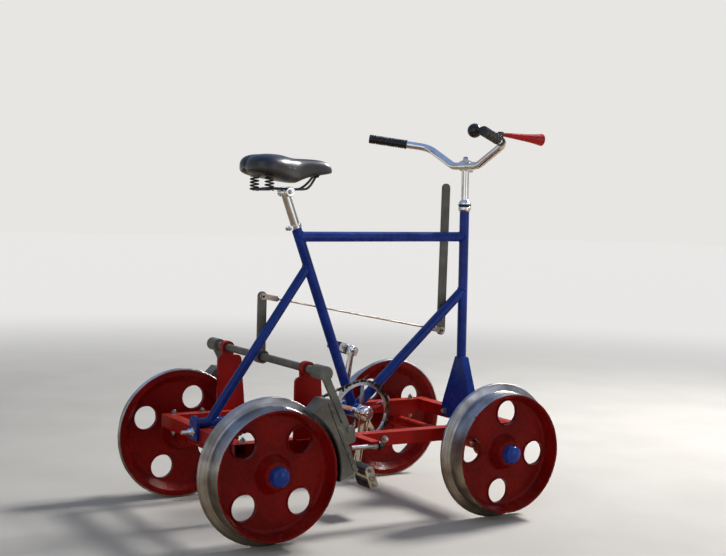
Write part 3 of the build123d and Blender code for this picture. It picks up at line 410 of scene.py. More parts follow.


# the third colour of each paint is the tone of its upper faces: a painted sunlit top with dust
paint("red_paint", (0.25, 0.004, 0.003), (0.37, 0.007, 0.005), (0.62, 0.085, 0.055))
paint(
    "horn_paint",
    (0.36, 0.005, 0.006),
    (0.46, 0.009, 0.010),
    (0.55, 0.07, 0.06),
    gloss=0.2,
    wear=0.3,
    film=0.3,
)
paint(
    "blue_paint",
    (0.004, 0.022, 0.19),
    (0.008, 0.038, 0.275),
    (0.06, 0.13, 0.42),
    gloss=0.24,
    wear=0.7,
    film=0.3,
)
paint(
    "cap_paint",
    (0.006, 0.032, 0.22),
    (0.012, 0.055, 0.34),
    (0.04, 0.10, 0.42),
    gloss=0.24,
    wear=0.4,
    film=0.5,
)
paint(
    "grey_paint",
    (0.125, 0.120, 0.105),
    (0.195, 0.188, 0.165),
    (0.27, 0.26, 0.23),
    gloss=0.42,
    chip=(0.06, 0.045, 0.035),
    texture=0.0003,
)
paint(
    "block_paint",
    (0.120, 0.110, 0.093),
    (0.185, 0.172, 0.148),
    (0.27, 0.28, 0.30),
    gloss=0.32,
    chip=(0.42, 0.40, 0.37),
    texture=0.0006,
    wear=1.5,
    darkened=True,
    film=0.35,
)
wheel_paint("front_wheels", half_base)
wheel_paint("rear_wheels", -half_base)
metal("bare_steel", (0.55, 0.54, 0.52), (0.36, 0.35, 0.33), 0.26, 0.16)
metal("dark_steel", (0.12, 0.115, 0.11), (0.05, 0.047, 0.045), 0.35, 0.15)
for name, pale, dark, gloss, spread, stained in (
    ("bright_steel", (0.83, 0.84, 0.86), (0.72, 0.73, 0.75), 0.05, 0.09, 0.12),
    ("pedal_steel", (0.80, 0.80, 0.80), (0.52, 0.51, 0.50), 0.12, 0.20, 0.45),
    ("roller_steel", (0.42, 0.39, 0.35), (0.22, 0.20, 0.17), 0.26, 0.16, 0.6),
):
    metal(name, pale, dark, gloss, spread, stained=stained)
for name, pale, dark, spread, stain, stained in (
    ("brown_steel", (0.66, 0.56, 0.48), (0.36, 0.28, 0.22), 0.2, (0.20, 0.11, 0.06), 0.6),
    ("chain_steel", (0.085, 0.078, 0.07), (0.03, 0.027, 0.024), 0.16, (0.03, 0.022, 0.016), 0.7),
):
    metal(name, pale, dark, 0.36, spread, stain, stained)
vinyl("black_plastic")
rubber("black_rubber", (0.011, 0.011, 0.011), (0.045, 0.042, 0.038))
rubber("grip_rubber", (0.010, 0.010, 0.011), (0.04, 0.038, 0.036), gloss=0.22)
rubber("bulb_rubber", (0.009, 0.009, 0.01), (0.02, 0.02, 0.02), gloss=0.2, scale=160)

# finishes of the solids: by their slot, apart from these
special = {
    "front_wheel_left": "front_wheels",
    "front_wheel_right": "front_wheels",
    "rear_wheel_left": "rear_wheels",
    "rear_wheel_right": "rear_wheels",
    "grips": "grip_rubber",
    "horn": "horn_paint",
    "horn_bulb": "bulb_rubber",
    "horn_clamp": "dark_steel",
    "lever_bolt": "dark_steel",
    "brake_rod": "brown_steel",
    "brake_blocks": "block_paint",
    "pedal_left": "pedal_steel",
    "pedal_right": "pedal_steel",
}
slot_of = {entry["node"]: entry["material_slot"] for entry in frame["record"]["subparts"]}
for node in frame["nodes"]:
    target = bpy.data.objects[node]
    target.data.materials.clear()
    target.data.materials.append(finishes[special.get(node, slot_of[node])])


def both_sides(point):
    """A place and its mirror image across the middle."""
    return point, Vector((point.x, -point.y, point.z))


def sides_of(axis):
    """Two directions square to an axis; the first lies level where it can."""
    level = axis.cross(upright)
    side = level.normalized() if level.length > 0.05 else along_y
    side = (side - axis * side.dot(axis)).normalized()
    return side, axis.cross(side)


def circle(centre, side, up, radius, steps, phase=0.0):
    """Points round a circle that lies along two directions."""
    angles = [phase + 2 * pi * step / steps for step in range(steps)]
    return [centre + (side * cos(a) + up * sin(a)) * radius for a in angles]


def bridge(shape, near, far):
    """Faces between two rings; a ring of one point closes to a tip."""
    count = max(len(near), len(far))
    for index in range(count):
        following = (index + 1) % count
        corners = [near[index % len(near)], near[following % len(near)]]
        corners += [far[following % len(far)], far[index % len(far)]]
        shape.faces.new(list(dict.fromkeys(corners)))


def skin(shape, rings, capped=False):
    """Faces from ring to ring, and over both ends where asked."""
    for near, far in zip(rings, rings[1:]):
        bridge(shape, near, far)
    if capped:
        shape.faces.new(rings[0])
        shape.faces.new(rings[-1])


def turned(shape, origin, axis, profile, steps=24, phase=0.0):
    """Adds a turned form; the profile is a run of (along, radius)."""
    side, up = sides_of(axis)
    rings = []
    for along, radius in profile:
        centre = origin + axis * along
        points = circle(centre, side, up, radius, steps, phase) if radius else [centre]
        rings.append([shape.verts.new(point) for point in points])
    skin(shape, rings)


def swept(shape, points, radii, sides=10, closed=False):
    """Adds a round wire along points."""
    count = len(points)
    rings = []
    side = None
    for index, point in enumerate(points):
        ahead = points[(index + 1) % count] if closed or index + 1 < count else point
        behind = points[index - 1] if closed or index else point
        run = (ahead - behind).normalized()
        if side is None:
            side = sides_of(run)[0]
        side = (side - run * side.dot(run)).normalized()
        radius = radii[index] if isinstance(radii, list) else radii
        corners = circle(point, side, run.cross(side), radius, sides)
        rings.append([shape.verts.new(corner) for corner in corners])
    skin(shape, rings)
    if closed:
        near, far = rings[-1], rings[0]
        shift = min(range(sides), key=lambda s: (near[0].co - far[s].co).length)
        bridge(shape, near, far[shift:] + far[:shift])
    else:
        for ring, point in ((rings[0], points[0]), (rings[-1], points[-1])):
            bridge(shape, ring, [shape.verts.new(point)])


def slab(shape, outline, normal, thickness, bevel):
    """Adds a plate from its outline, thickened along its normal, its rim eased."""
    middle = sum(outline, Vector()) / len(outline)
    rings = []
    for lift, inset in ((0, bevel), (bevel, 0), (thickness - bevel, 0), (thickness, bevel)):
        eased = [point + (middle - point).normalized() * inset for point in outline]
        rings.append([shape.verts.new(point + normal * lift) for point in eased])
    skin(shape, rings, capped=True)


def thread(base, radius, count):
    """Profile of a screw thread: a groove and a crest for each turn."""
    profile = [(base, radius)]
    for turn in range(count):
        start = base + turn * thread_pitch
        profile += [(start + thread_pitch / 2, radius * 0.9), (start + thread_pitch, radius)]
    return profile


def bolt(shape, place, axis, across, tall=0.65, washer=True, end=0.0, phase=0.0):
    """Adds a hexagon head with washer and, where asked, the bolt's end standing through it."""
    radius = across / sqrt(3)
    height = across * tall
    lift = across * 0.1 if washer else 0.0
    if washer:
        turned(shape, place, axis, [(0, 0), (0, radius * 1.3), (lift, radius * 1.28), (lift, 0)])
    head = [(0, 0), (0, radius), (height * 0.86, radius), (height, radius * 0.87), (height, 0)]
    turned(shape, place + axis * lift, axis, head, 6, phase)
    if end:
        profile = thread(lift + height, across * 0.29, ceil(end / thread_pitch))
        turned(shape, place, axis, [*profile, (profile[-1][0] + 0.0005, 0)], 12)


def make_piece(name, shape, finish, body="chassis", sharp=35):
    """Turns worked mesh into a piece that rides on a body."""
    bmesh.ops.recalc_face_normals(shape, faces=shape.faces)
    mesh = bpy.data.meshes.new(name)
    shape.to_mesh(mesh)
    shape.free()
    mesh.polygons.foreach_set("use_smooth", [True] * len(mesh.polygons))
    mesh.set_sharp_from_angle(angle=radians(sharp))
    mesh.materials.append(finishes[finish])
    piece = bpy.data.objects.new(name, mesh)
    scene.collection.objects.link(piece)
    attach(piece, body)
    return piece


def meets(start, run, radius, centre, axis, main_radius):
    """Closed line where a round tube, running back from start, meets another's surface."""
    points = []
    for foot in circle(start, *sides_of(run), radius, 48):
        offset = foot - centre
        flat = offset - axis * offset.dot(axis)
        pace = run - axis * run.dot(axis)
        a = pace.dot(pace)
        b = flat.dot(pace)
        c = flat.dot(flat) - main_radius**2
        slide = (-b - sqrt(max(0, b * b - a * c))) / a
        points.append(foot + run * slide)
    return points


def weld_bead(shape, points, size):
    """A hand-laid bead with its ripples."""
    radii = []
    for index in range(len(points)):
        radii.append(size * (1 + 0.22 * sin(index * 2.1) * cos(index * 0.7)))
    swept(shape, points, radii, 8, closed=True)


def straight_bead(shape, start, end, steps, size):
    """A bead along a straight seam."""
    points = [start + (end - start) * step / steps for step in range(steps + 1)]
    radii = [size * (1 + 0.2 * sin(step * 2.3)) for step in range(steps + 1)]
    swept(shape, points, radii, 8)


# weld beads where the frame's tubes meet
beads = bmesh.new()
stay_line = (shell - stay_low).normalized()
for start, goal, radius, centre, axis, main_radius in (
    # a tube's start, where it runs to and its radius; the other tube's point, line and radius
    (top_front, top_rear, tube_radius, shell, seat_axis, tube_radius),
    (top_rear, top_front, tube_radius, head_foot, head_axis, tube_radius),
    (shell, down_front, tube_radius, head_foot, head_axis, tube_radius),
    (down_front, shell, tube_radius, shell, along_y, shell_radius),
    (seat_high, shell, tube_radius, shell, along_y, shell_radius),
    (stay_low, shell, stay_radius, shell, along_y, shell_radius),
    (stay_low, stay_high, stay_radius, shell, seat_axis, tube_radius),
    (stay_high, stay_low, stay_radius, shell, stay_line, stay_radius),
):
    line = meets(start, (goal - start).normalized(), radius, centre, axis, main_radius)
    weld_bead(beads, line, stay_bead if radius == stay_radius else tube_bead)
stay_foot = Vector((beam_back, 0, stay_low.z))
for centre, radius, axis in ((head_foot, tube_radius, upright), (stay_foot, stay_radius, along_x)):
    weld_bead(beads, circle(centre, *sides_of(axis), radius, 40), tube_bead)
make_piece("weld_beads", beads, "blue_paint")

# weld beads of the red ironwork
beads = bmesh.new()
for side in (1, -1):
    start = Vector((-0.263, side * 0.2545, frame_top))
    straight_bead(beads, start, start + along_x * 0.088, 30, 0.0022)
    for x in (-0.395, 0.423):
        start = Vector((x, side * 0.212, frame_top - 0.0006))
        straight_bead(beads, start, start + along_y * side * 0.033, 14, 0.002)
make_piece("iron_beads", beads, "red_paint")

# bolts of the chassis, its bearing blocks and the front bracket
bolts = bmesh.new()
for x in (half_base, -half_base):
    for shift in (0.043, -0.043):
        for place in both_sides(Vector((x + shift, rail_y, frame_bottom - 0.012))):
            bolt(bolts, place, -upright, frame_bolt, end=0.004)
        for place in both_sides(Vector((x + shift, rail_y, frame_top))):
            bolt(bolts, place, upright, frame_bolt, end=0.003, phase=0.3)
for x in (0.010, 0.215):
    for side in (1, -1):
        place = Vector((x, side * rail_outer_y, (frame_top + frame_bottom) / 2))
        bolt(bolts, place, along_y * side, frame_bolt, end=0.002, phase=x * 40)
make_piece("chassis_bolts", bolts, "bare_steel")
bolts = bmesh.new()
for y in (0.061, -0.061):
    bolt(bolts, Vector((0.419, y, 0.2405)), -along_x, frame_bolt, end=0.004, phase=y * 9)
make_piece("bracket_bolts", bolts, "bare_steel")

# tail stud: washer, wing nut and the stud's threaded end
stud = bmesh.new()
stud_place = Vector((tail_face, 0, tail_stud_z))
profile = [(0, 0), (0, 0.0115), (0.0018, 0.0115), (0.0018, 0.0088), (0.011, 0.0072)]
profile += [(0.0125, 0.006), *thread(0.0125, 0.005, 17), (0.0329, 0)]
turned(stud, stud_place, -along_x, profile, 20)
for side in (1, -1):
    outline = []
    for step in range(20):
        swing, lift = cos(pi * step / 10), sin(pi * step / 10)
        y, z = 0.0095 + 0.0125 * swing, 0.0062 * lift + 0.002 * swing
        outline.append(stud_place + Vector((-0.0035, side * y, z)))
    slab(stud, outline, -along_x, 0.0042, 0.001)
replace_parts(make_piece("wing_nut", stud, "bright_steel"), "tail_stud")

# wheels: ends of the bosses and their domed caps
boss_tip = [(-0.0045, 0.0300), (-0.0045, 0.0387), (0.0040, 0.0352), (0.0068, 0.0330)]
boss_tip += [(0.0078, 0.0295), (0.0078, 0)]
cap_dome = [(0.0060, 0.0256), (0.0080, 0.0256), (0.0172, 0.0252), (0.0205, 0.0246)]
for lean in (12, 24, 36, 48, 60, 72, 82):
    cap_dome.append((0.0205 + 0.0150 * sin(radians(lean)), 0.0246 * cos(radians(lean))))
cap_dome.append((0.0356, 0))
for name, axle_x in (("front", half_base), ("rear", -half_base)):
    wheelset = f"{name}_wheelset"
    bosses, caps = bmesh.new(), bmesh.new()
    for side in (1, -1):
        face = Vector((axle_x, side * hub_face_y, axle_z))
        turned(bosses, face, along_y * side, boss_tip, 56)
        turned(caps, face, along_y * side, cap_dome, 40)
    make_piece(f"{name}_boss_tips", bosses, f"{name}_wheels", wheelset)
    capping = make_piece(f"{name}_caps", caps, "cap_paint", wheelset)
    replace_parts(capping, f"{name}_axle_caps")


def fuller(value, power):
    """A sine or cosine pushed outwards, its sign kept."""
    return copysign(abs(value) ** power, value)


# saddle cover: crowned, two rear lobes, drooping nose
cover_table = [
    # back from the rear end, half width, top, widest height, underside; above the post's tip
    (0.0000, 0.016, 0.074, 0.066, 0.058),
    (0.0030, 0.034, 0.085, 0.067, 0.053),
    (0.0110, 0.053, 0.094, 0.068, 0.048),
    (0.0280, 0.068, 0.1010, 0.068, 0.0425),
    (0.0520, 0.0745, 0.1035, 0.067, 0.038),
    (0.0770, 0.0720, 0.1035, 0.065, 0.0345),
    (0.1000, 0.0640, 0.1020, 0.062, 0.0310),
    (0.1210, 0.0520, 0.0975, 0.059, 0.0280),
    (0.1400, 0.0400, 0.0945, 0.057, 0.0260),
    (0.1520, 0.0340, 0.0940, 0.0575, 0.0265),
    (0.1640, 0.0300, 0.0940, 0.060, 0.0320),
    (0.1860, 0.0262, 0.0942, 0.064, 0.0415),
    (0.2120, 0.0235, 0.0940, 0.067, 0.0475),
    (0.2340, 0.0208, 0.0920, 0.068, 0.0510),
    (0.2510, 0.0178, 0.0870, 0.067, 0.0540),
    (0.2630, 0.0130, 0.0785, 0.065, 0.0565),
    (0.2700, 0.0055, 0.0680, 0.063, 0.0590),
]
lobe_height, lobe_length, lobe_half = 0.0085, 0.10, 0.026
cleft_depth, cleft_length, cleft_half = 0.007, 0.05, 0.022
cover_steps = 40
cover = bmesh.new()
rings = []
for back, half, top, widest, under in cover_table:
    ring = []
    for step in range(cover_steps):
        angle = 2 * pi * step / cover_steps
        lift = sin(angle)
        y = half * fuller(cos(angle), 0.72)
        if lift >= 0:
            z = widest + (top - widest) * lift**0.80
            lobes = max(0, 1 - back / lobe_length) * lobe_height
            z -= lobes * (1 - min(1, abs(y) / lobe_half)) ** 2 * lift
        else:
            z = widest + (widest - under) * fuller(lift, 0.55)
        cleft = max(0, 1 - back / cleft_length) * cleft_depth
        cleft *= (1 - min(1, abs(y) / cleft_half)) ** 2
        ring.append(cover.verts.new((saddle_rear + back + cleft, y, post_tip.z + z)))
    rings.append(ring)
skin(cover, rings, capped=True)
saddle = make_piece("saddle_cover", cover, "black_plastic", sharp=180)
smoother = saddle.modifiers.new("smoother", "SUBSURF")
smoother.levels = 2
smoother.render_levels = 2
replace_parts(saddle, "saddle")


def smooth_line(line):
    """A soft curve through given points, three points to a stretch."""
    curve = []
    for index in range(len(line) - 1):
        before, here = line[max(0, index - 1)], line[index]
        ahead, after = line[index + 1], line[min(len(line) - 1, index + 2)]
        for share in (0, 0.33, 0.67):
            t2, t3 = share**2, share**3
            point = here * (2 * t3 - 3 * t2 + 1) + ahead * (3 * t2 - 2 * t3)
            point += (ahead - before) / 2 * (t3 - 2 * t2 + share)
            curve.append(point + (after - here) / 2 * (t3 - t2))
    return [*curve, line[-1]]


# saddle carriage: bent rail wires, coil springs, cups and clamp
wires = bmesh.new()
carriage_z = post_tip.z + 0.010
nose_x = saddle_rear + 0.218
wire_line = [
    # forward from the springs, from the middle, above the carriage
    (-0.004, 0.046, -0.004),
    (0.006, 0.040, -0.003),
    (0.020, 0.026, 0.0),
    (0.034, 0.021, 0.0),
    (0.114, 0.021, 0.0),
    (0.136, 0.018, 0.008),
    (0.150, 0.012, 0.022),
    (0.163, 0.008, 0.040),
]
coil_steps = 90
coil_radius = 0.0112
for side in (1, -1):
    line = [Vector((spring_x + x, side * y, carriage_z + z)) for x, y, z in wire_line]
    swept(wires, smooth_line(line), wire_radius, 10)
    coil = []
    for step in range(coil_steps + 1):
        angle = pi * step / 10
        x = spring_x + coil_radius * cos(angle)
        y = side * (spring_half + coil_radius * sin(angle))
        coil.append(Vector((x, y, carriage_z - 0.006 + 0.040 * step / coil_steps)))
    swept(wires, coil, 0.0022, 8)
cross_wire = []
for step in range(9):
    y = spring_half * (1 - step / 4)
    cross_wire.append(Vector((spring_x - 0.004, y, carriage_z - 0.004)))
swept(wires, cross_wire, wire_radius, 10)
make_piece("saddle_wires", wires, "dark_steel")
clamp = bmesh.new()
clamp_half = 0.0145
clamp_place = Vector((post_tip.x + 0.003, 0, carriage_z - 0.008))
for side in (1, -1):
    out = along_y * side
    start = clamp_place + out * clamp_half
    teeth = []
    for step in range(48):
        angle = 2 * pi * step / 48
        reach = 0.0148 if step % 2 else 0.0138
        teeth.append(start + Vector((reach * cos(angle), 0, reach * sin(angle))))
    slab(clamp, teeth, out, 0.0035, 0.0006)
    boss = [(0.0035, 0.0128), (0.0135, 0.0135), (0.0150, 0.0120), (0.0150, 0)]
    turned(clamp, start, out, boss, 28)
    bolt(clamp, start + out * 0.015, out, 0.012, end=0.002 if side < 0 else 0.005)
barrel = [(0, 0), (0, 0.0115), (2 * clamp_half, 0.0115), (2 * clamp_half, 0)]
turned(clamp, clamp_place - along_y * clamp_half, along_y, barrel, 28)
cups = bmesh.new()
for x, y, foot in ((spring_x, spring_half, 0.012), (nose_x, 0.008, 0.006)):
    for place in both_sides(Vector((x, y, carriage_z + 0.034))):
        cup = [(0, 0), (0, foot), (0.012, 0.013), (0.030, 0.013), (0.030, 0)]
        turned(cups, place, upright, cup, 20)
make_piece("saddle_cups", cups, "dark_steel")
carriage = make_piece("saddle_clamp", clamp, "bright_steel")
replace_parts(carriage, "saddle_frame")

# seat clamp bolt, stem bolts
small = bmesh.new()
ear = seat_high + seat_axis * 0.0045 + Vector((-seat_axis.z, 0, seat_axis.x)) * 0.0205
for side in (1, -1):
    out = along_y * side
    bolt(small, ear + out * 0.0078, out, 0.010, end=0.0035 if side < 0 else 0.0)
lug = bar_middle + Vector((0.0215, 0, -0.004))
bolt(small, lug - upright * 0.0075, -upright, 0.010)
bolt(small, lug + upright * 0.0075, upright, 0.010, end=0.002)
quill = [(0, 0.0095), (0.003, 0.0095), (0.0035, 0.008), (0.0042, 0.0075)]
quill += [(0.0102, 0.0073), (0.0125, 0.0045), (0.0130, 0)]
turned(small, bar_middle + head_axis * 0.0150, head_axis, quill, 6)
make_piece("clamp_bolts", small, "bright_steel")

# headset: black lock ring between its two bright cups
ring = bmesh.new()
knurl = [(0.0155, 0.0160), (0.0155, 0.0186), (0.0165, 0.0192), (0.0205, 0.0192)]
knurl += [(0.0215, 0.0186), (0.0215, 0.0160)]
turned(ring, head_top, head_axis, knurl, 36)
make_piece("lock_ring", ring, "black_rubber")

# grips: closed end, collar and ribs
grip_end = [(-0.004, 0), (-0.0052, 0.0085), (-0.0045, 0.0122), (-0.002, 0.0140)]
grip_end += [(0.001, 0.0140), (0.003, 0.0132)]
grip_collar = [(0.1085, 0.0132), (0.1095, 0.0144), (0.1135, 0.0144), (0.1145, 0.0132)]
grip_collar.append((0.1145, 0.0112))
rib = [(0, 0.0131), (0.0009, 0.0142), (0.0031, 0.0142), (0.0040, 0.0131)]
rib_count, rib_start, rib_step = 15, 0.0045, 0.0069
for name, tip, knee in zip(("left", "right"), both_sides(end_left), both_sides(knee_left)):
    run = (knee - tip).normalized()
    trim = bmesh.new()
    turned(trim, tip, run, grip_end, 28)
    turned(trim, tip, run, grip_collar, 28)
    for index in range(rib_count):
        turned(trim, tip + run * (rib_start + index * rib_step), run, rib, 28)
    make_piece(f"grip_trim_{name}", trim, "grip_rubber")

# horn: rim and neck of the trumpet, collar of the bulb, bolt of the clamp
trim = bmesh.new()
rim = [(-0.0012, 0.0158), (-0.0012, 0.0171), (-0.0004, 0.0176), (-0.0001, 0.0171)]
rim.append((-0.0001, 0.0158))
turned(trim, horn_low + horn_run * horn_length, horn_run, rim, 36)
neck = [(0.001, 0.0048), (0.001, 0.0062), (0.0055, 0.0062), (0.0065, 0.0054)]
turned(trim, horn_low, horn_run, neck, 24)
make_piece("horn_rim", trim, "horn_paint")
trim = bmesh.new()
collar = [(0.061, 0.0044), (0.061, 0.0075), (0.067, 0.0092), (0.0735, 0.0100), (0.0750, 0.0085)]
turned(trim, horn_low, -horn_run, collar, 28)
socket = [(0.001, 0.0044), (0.001, 0.0070), (0.008, 0.0070), (0.0095, 0.0058), (0.0095, 0.0042)]
turned(trim, horn_low, -horn_run, socket, 24)
make_piece("horn_collar", trim, "dark_steel")
small = bmesh.new()
end_right, knee_right = both_sides(end_left)[1], both_sides(knee_left)[1]
band = knee_right + (end_right - knee_right).normalized() * 0.039
bolt(small, band + Vector((0.006, 0.008, 0.004)), along_y, 0.007)
make_piece("horn_bolt", small, "bare_steel")

# the chain's closed line: round the chainring, lower run, round the sprocket, upper run
ring_radius = chain_pitch / (2 * sin(pi / ring_teeth))
sprocket_radius = chain_pitch / (2 * sin(pi / sprocket_teeth))
rear_hub = Vector((-half_base, 0, axle_z))
hub_run = shell - rear_hub
line_angle = atan2(hub_run.z, hub_run.x)
wrap_lean = asin((ring_radius - sprocket_radius) / hub_run.length)
tangent_high = line_angle + pi / 2 + wrap_lean
tangent_low = line_angle - pi / 2 - wrap_lean
ring_wrap = tangent_high - tangent_low
straight_run = hub_run.length * cos(wrap_lean)
ring_arc = ring_wrap * ring_radius
sprocket_arc = (2 * pi - ring_wrap) * sprocket_radius
path_length = ring_arc + sprocket_arc + 2 * straight_run
link_count = 2 * round(path_length / chain_pitch / 2)
link_step = path_length / link_count


def chain_point(along):
    """Pin place at a length along the chain's closed line."""
    slide = 0
    if along <= ring_arc:
        centre, radius, angle = shell, ring_radius, tangent_high - along / ring_radius
    elif along <= ring_arc + straight_run:
        centre, radius, angle = shell, ring_radius, tangent_low
        slide = along - ring_arc
    elif along <= ring_arc + straight_run + sprocket_arc:
        turned_by = (along - ring_arc - straight_run) / sprocket_radius
        centre, radius, angle = rear_hub, sprocket_radius, tangent_low - turned_by
    else:
        centre, radius, angle = rear_hub, sprocket_radius, tangent_high
        slide = along - ring_arc - straight_run - sprocket_arc
    heading = angle - pi / 2
    x = centre.x + radius * cos(angle) + slide * cos(heading)
    z = centre.z + radius * sin(angle) + slide * sin(heading)
    return Vector((x, chain_y, z))


def link_plate(first, second, half, waist):
    """Outline of one side plate: two round ends and a waist."""
    run = (second - first).normalized()
    rise = Vector((-run.z, 0, run.x))
    middle = (first + second) / 2
    outline = []
    for centre, turn, side in ((second, 0, 1), (first, pi, -1)):
        for step in range(7):
            angle = turn - pi / 2 + pi * step / 6
            outline.append(centre + (run * cos(angle) + rise * sin(angle)) * half)
        outline.append(middle + rise * waist * side)
    return outline


# chain: plates, pins and rollers link by link
chain = bmesh.new()
inner_links = bmesh.new()
roller = [(0, 0), (0, 0.0037), (0.0032, 0.0037), (0.0032, 0)]
pin = [(0, 0), (0.0002, 0.0014), (0.0006, 0.0018), (0.0090, 0.0018), (0.0094, 0.0014)]
pin.append((0.0096, 0))
pins = [chain_point(index * link_step) for index in range(link_count)]
for index, first in enumerate(pins):
    second = pins[(index + 1) % link_count]
    outer = index % 2 == 0
    for side in (1, -1):
        out = along_y * side
        gap = out * (0.0031 if outer else 0.0018)
        outline = link_plate(first + gap, second + gap, 0.0041, 0.0024)
        slab(chain if outer else inner_links, outline, out, 0.0011, 0.00025)
    turned(inner_links, first - along_y * 0.0016, along_y, roller, 12)
    turned(chain, first - along_y * 0.0048, along_y, pin, 8)
make_piece("chain_rollers", inner_links, "roller_steel", sharp=30)
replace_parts(make_piece("chain_links", chain, "chain_steel", sharp=30), "chain")

crank_table = [
    # name, side, turn of the arm from straight up, tip of the pedal forwards
    ("right", -1, 189, 70),
    ("left", 1, 9, 20),
]


def crank_run(turn):
    """The way an arm points, turned forwards from straight up."""
    return Vector((sin(radians(turn)), 0, cos(radians(turn))))


# cranks: forged arms with a large domed boss and the pedal's eye
arm_table = [
    # along the arm from the boss, half width, half thickness
    (-0.0200, 0.0040, 0.0040),
    (-0.0185, 0.0095, 0.0058),
    (-0.0110, 0.0170, 0.0066),
    (0.0000, 0.0200, 0.0068),
    (0.0150, 0.0188, 0.0068),
    (0.0330, 0.0158, 0.0068),
    (0.0600, 0.0125, 0.0066),
    (0.1100, 0.0100, 0.0062),
    (0.1440, 0.0095, 0.0062),
    (0.1560, 0.0120, 0.0066),
    (0.1660, 0.0133, 0.0066),
    (0.1740, 0.0106, 0.0064),
    (0.1782, 0.0055, 0.0050),
    (0.1790, 0.0025, 0.0035),
]
boss_dome = [(0, 0), (0, 0.0170), (0.0030, 0.0185), (0.0200, 0.0214), (0.0255, 0.0217)]
boss_dome += [(0.0292, 0.0200), (0.0312, 0.0165), (0.0318, 0.0110), (0.0308, 0.0104)]
boss_dome.append((0.0308, 0))
eye_boss = [(0, 0), (0, 0.0065), (0.0010, 0.0078), (0.0170, 0.0098), (0.0170, 0)]
for name, side, turn, _ in crank_table:
    out = along_y * side
    run = crank_run(turn)
    across = run.cross(out)
    arm = bmesh.new()
    rings = []
    for along, half, thick in arm_table:
        ring = []
        for step in range(24):
            wide = half * fuller(cos(pi * step / 12), 0.55)
            deep = thick * fuller(sin(pi * step / 12), 0.45)
            place = shell + run * along + across * wide + out * (crank_y + deep)
            ring.append(arm.verts.new(place))
        rings.append(ring)
    skin(arm, rings, capped=True)
    turned(arm, shell + out * 0.0475, out, boss_dome, 36)
    eye = shell + run * crank_length
    turned(arm, eye + out * (crank_y - 0.0085), out, eye_boss, 24)
    forged = make_piece(f"crank_arm_{name}", arm, "bright_steel", "crankset", sharp=50)
    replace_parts(forged, f"crank_{name}")

# drive: boss caps, ring bolts and the lips of the chainring
small = bmesh.new()
for side in (1, -1):
    out = along_y * side
    face = shell + out * crank_face_y
    turned(small, face, out, [(0, 0.0100), (0.0006, 0.0100), (0.0006, 0.0075), (0, 0.0070)], 32)
    bolt(small, face, out, 0.011, tall=0.22, washer=False)
make_piece("crank_caps", small, "bright_steel", "crankset")
arm_bolts = bmesh.new()
disc = [(0, 0), (0, 0.0048), (0.0014, 0.0048), (0.0018, 0.0042), (0.0018, 0.0024)]
disc += [(0.0010, 0.0022), (0.0010, 0)]
ring_face = shell + along_y * (chain_y - 0.0025)
for place in circle(ring_face, along_x, upright, ring_radius - 0.0150, 5, phase=pi / 2):
    turned(arm_bolts, place, -along_y, disc, 18)
    turned(arm_bolts, place + along_y * 0.005, along_y, disc, 18)
make_piece("ring_bolts", arm_bolts, "bare_steel", "crankset")
lip = bmesh.new()
for band_radius in (ring_radius - 0.0072, ring_radius - 0.0114):
    for y in (chain_y - 0.0013, chain_y + 0.0013):
        line = circle(shell + along_y * y, along_x, upright, band_radius, 72)
        swept(lip, line, 0.0009, 6, closed=True)
make_piece("ring_lips", lip, "bright_steel", "crankset")

# pedals: tread blocks on the pads, dust cap and nuts of the cage
tread_half, tread_bevel = Vector((0.0092, 0, 0.0118)), Vector((0.0085, 0, 0.0108))
dust_cap = [(0, 0.0098), (0.0022, 0.0095), (0.0036, 0.0075), (0.0040, 0.0050)]
dust_cap += [(0.0036, 0.0040), (0.0036, 0)]
for name, side, turn, tip in crank_table:
    out = along_y * side
    eye = shell + crank_run(turn) * crank_length
    run = Vector((cos(radians(tip)), 0, -sin(radians(tip))))
    rise = Vector((-run.z, 0, run.x))
    treads = bmesh.new()
    for middle in (pedal_pad_middle, -pedal_pad_middle):
        for index in range(8):
            start = eye + run * middle + out * (pedal_inner_y + 0.005 + index * 0.0088)
            half = [(-tread_bevel.x, tread_half.z), (tread_bevel.x, tread_half.z)]
            half += [(tread_half.x, tread_bevel.z), (tread_half.x, -tread_bevel.z)]
            corners = [*half, *((-x, -z) for x, z in half)]
            outline = [start + run * x + rise * z * 1.06 for x, z in corners]
            slab(treads, outline, out, 0.0045, 0.0008)
    make_piece(f"pedal_treads_{name}", treads, "black_rubber", f"{name}_pedal")
    cage = bmesh.new()
    end = eye + out * pedal_outer_y
    turned(cage, end, out, dust_cap, 24)
    for middle in (pedal_pad_middle, -pedal_pad_middle):
        bolt(cage, end - out * 0.0002 + run * middle, out, 0.009, tall=0.45, end=0.0015)
        inner = eye + out * pedal_inner_y + run * middle
        bolt(cage, inner, -out, 0.007, tall=0.3, washer=False)
    make_piece(f"pedal_nuts_{name}", cage, "bare_steel", f"{name}_pedal")

# clevis pins of the brake linkage: heads, washers and split pins
pin_head = [(-0.0022, 0), (-0.0022, 0.0062), (0.0002, 0.0062), (0.0010, 0.0050), (0.0010, 0)]
washer = [(0, 0), (0, 0.0062), (0.0012, 0.0062), (0.0012, 0)]
for name, place, body in (
    ("pull", pull_pin, "brake_cross_shaft"),
    ("lever", lever_pin, "hand_lever"),
):
    small = bmesh.new()
    turned(small, place + along_y * (link_y + 0.0108), along_y, pin_head, 24)
    tail = place + along_y * (link_y - 0.0105)
    turned(small, tail, along_y, washer, 24)
    loop = []
    for angle in (0.6, 1.2, 1.9, 2.5, 3.3, 4.0):
        loop.append(tail + Vector((0.0055 * cos(angle), -0.0012, 0.0055 * sin(angle) - 0.003)))
    swept(small, loop, 0.0008, 6)
    make_piece(f"{name}_pin_trim", small, "bare_steel", body)
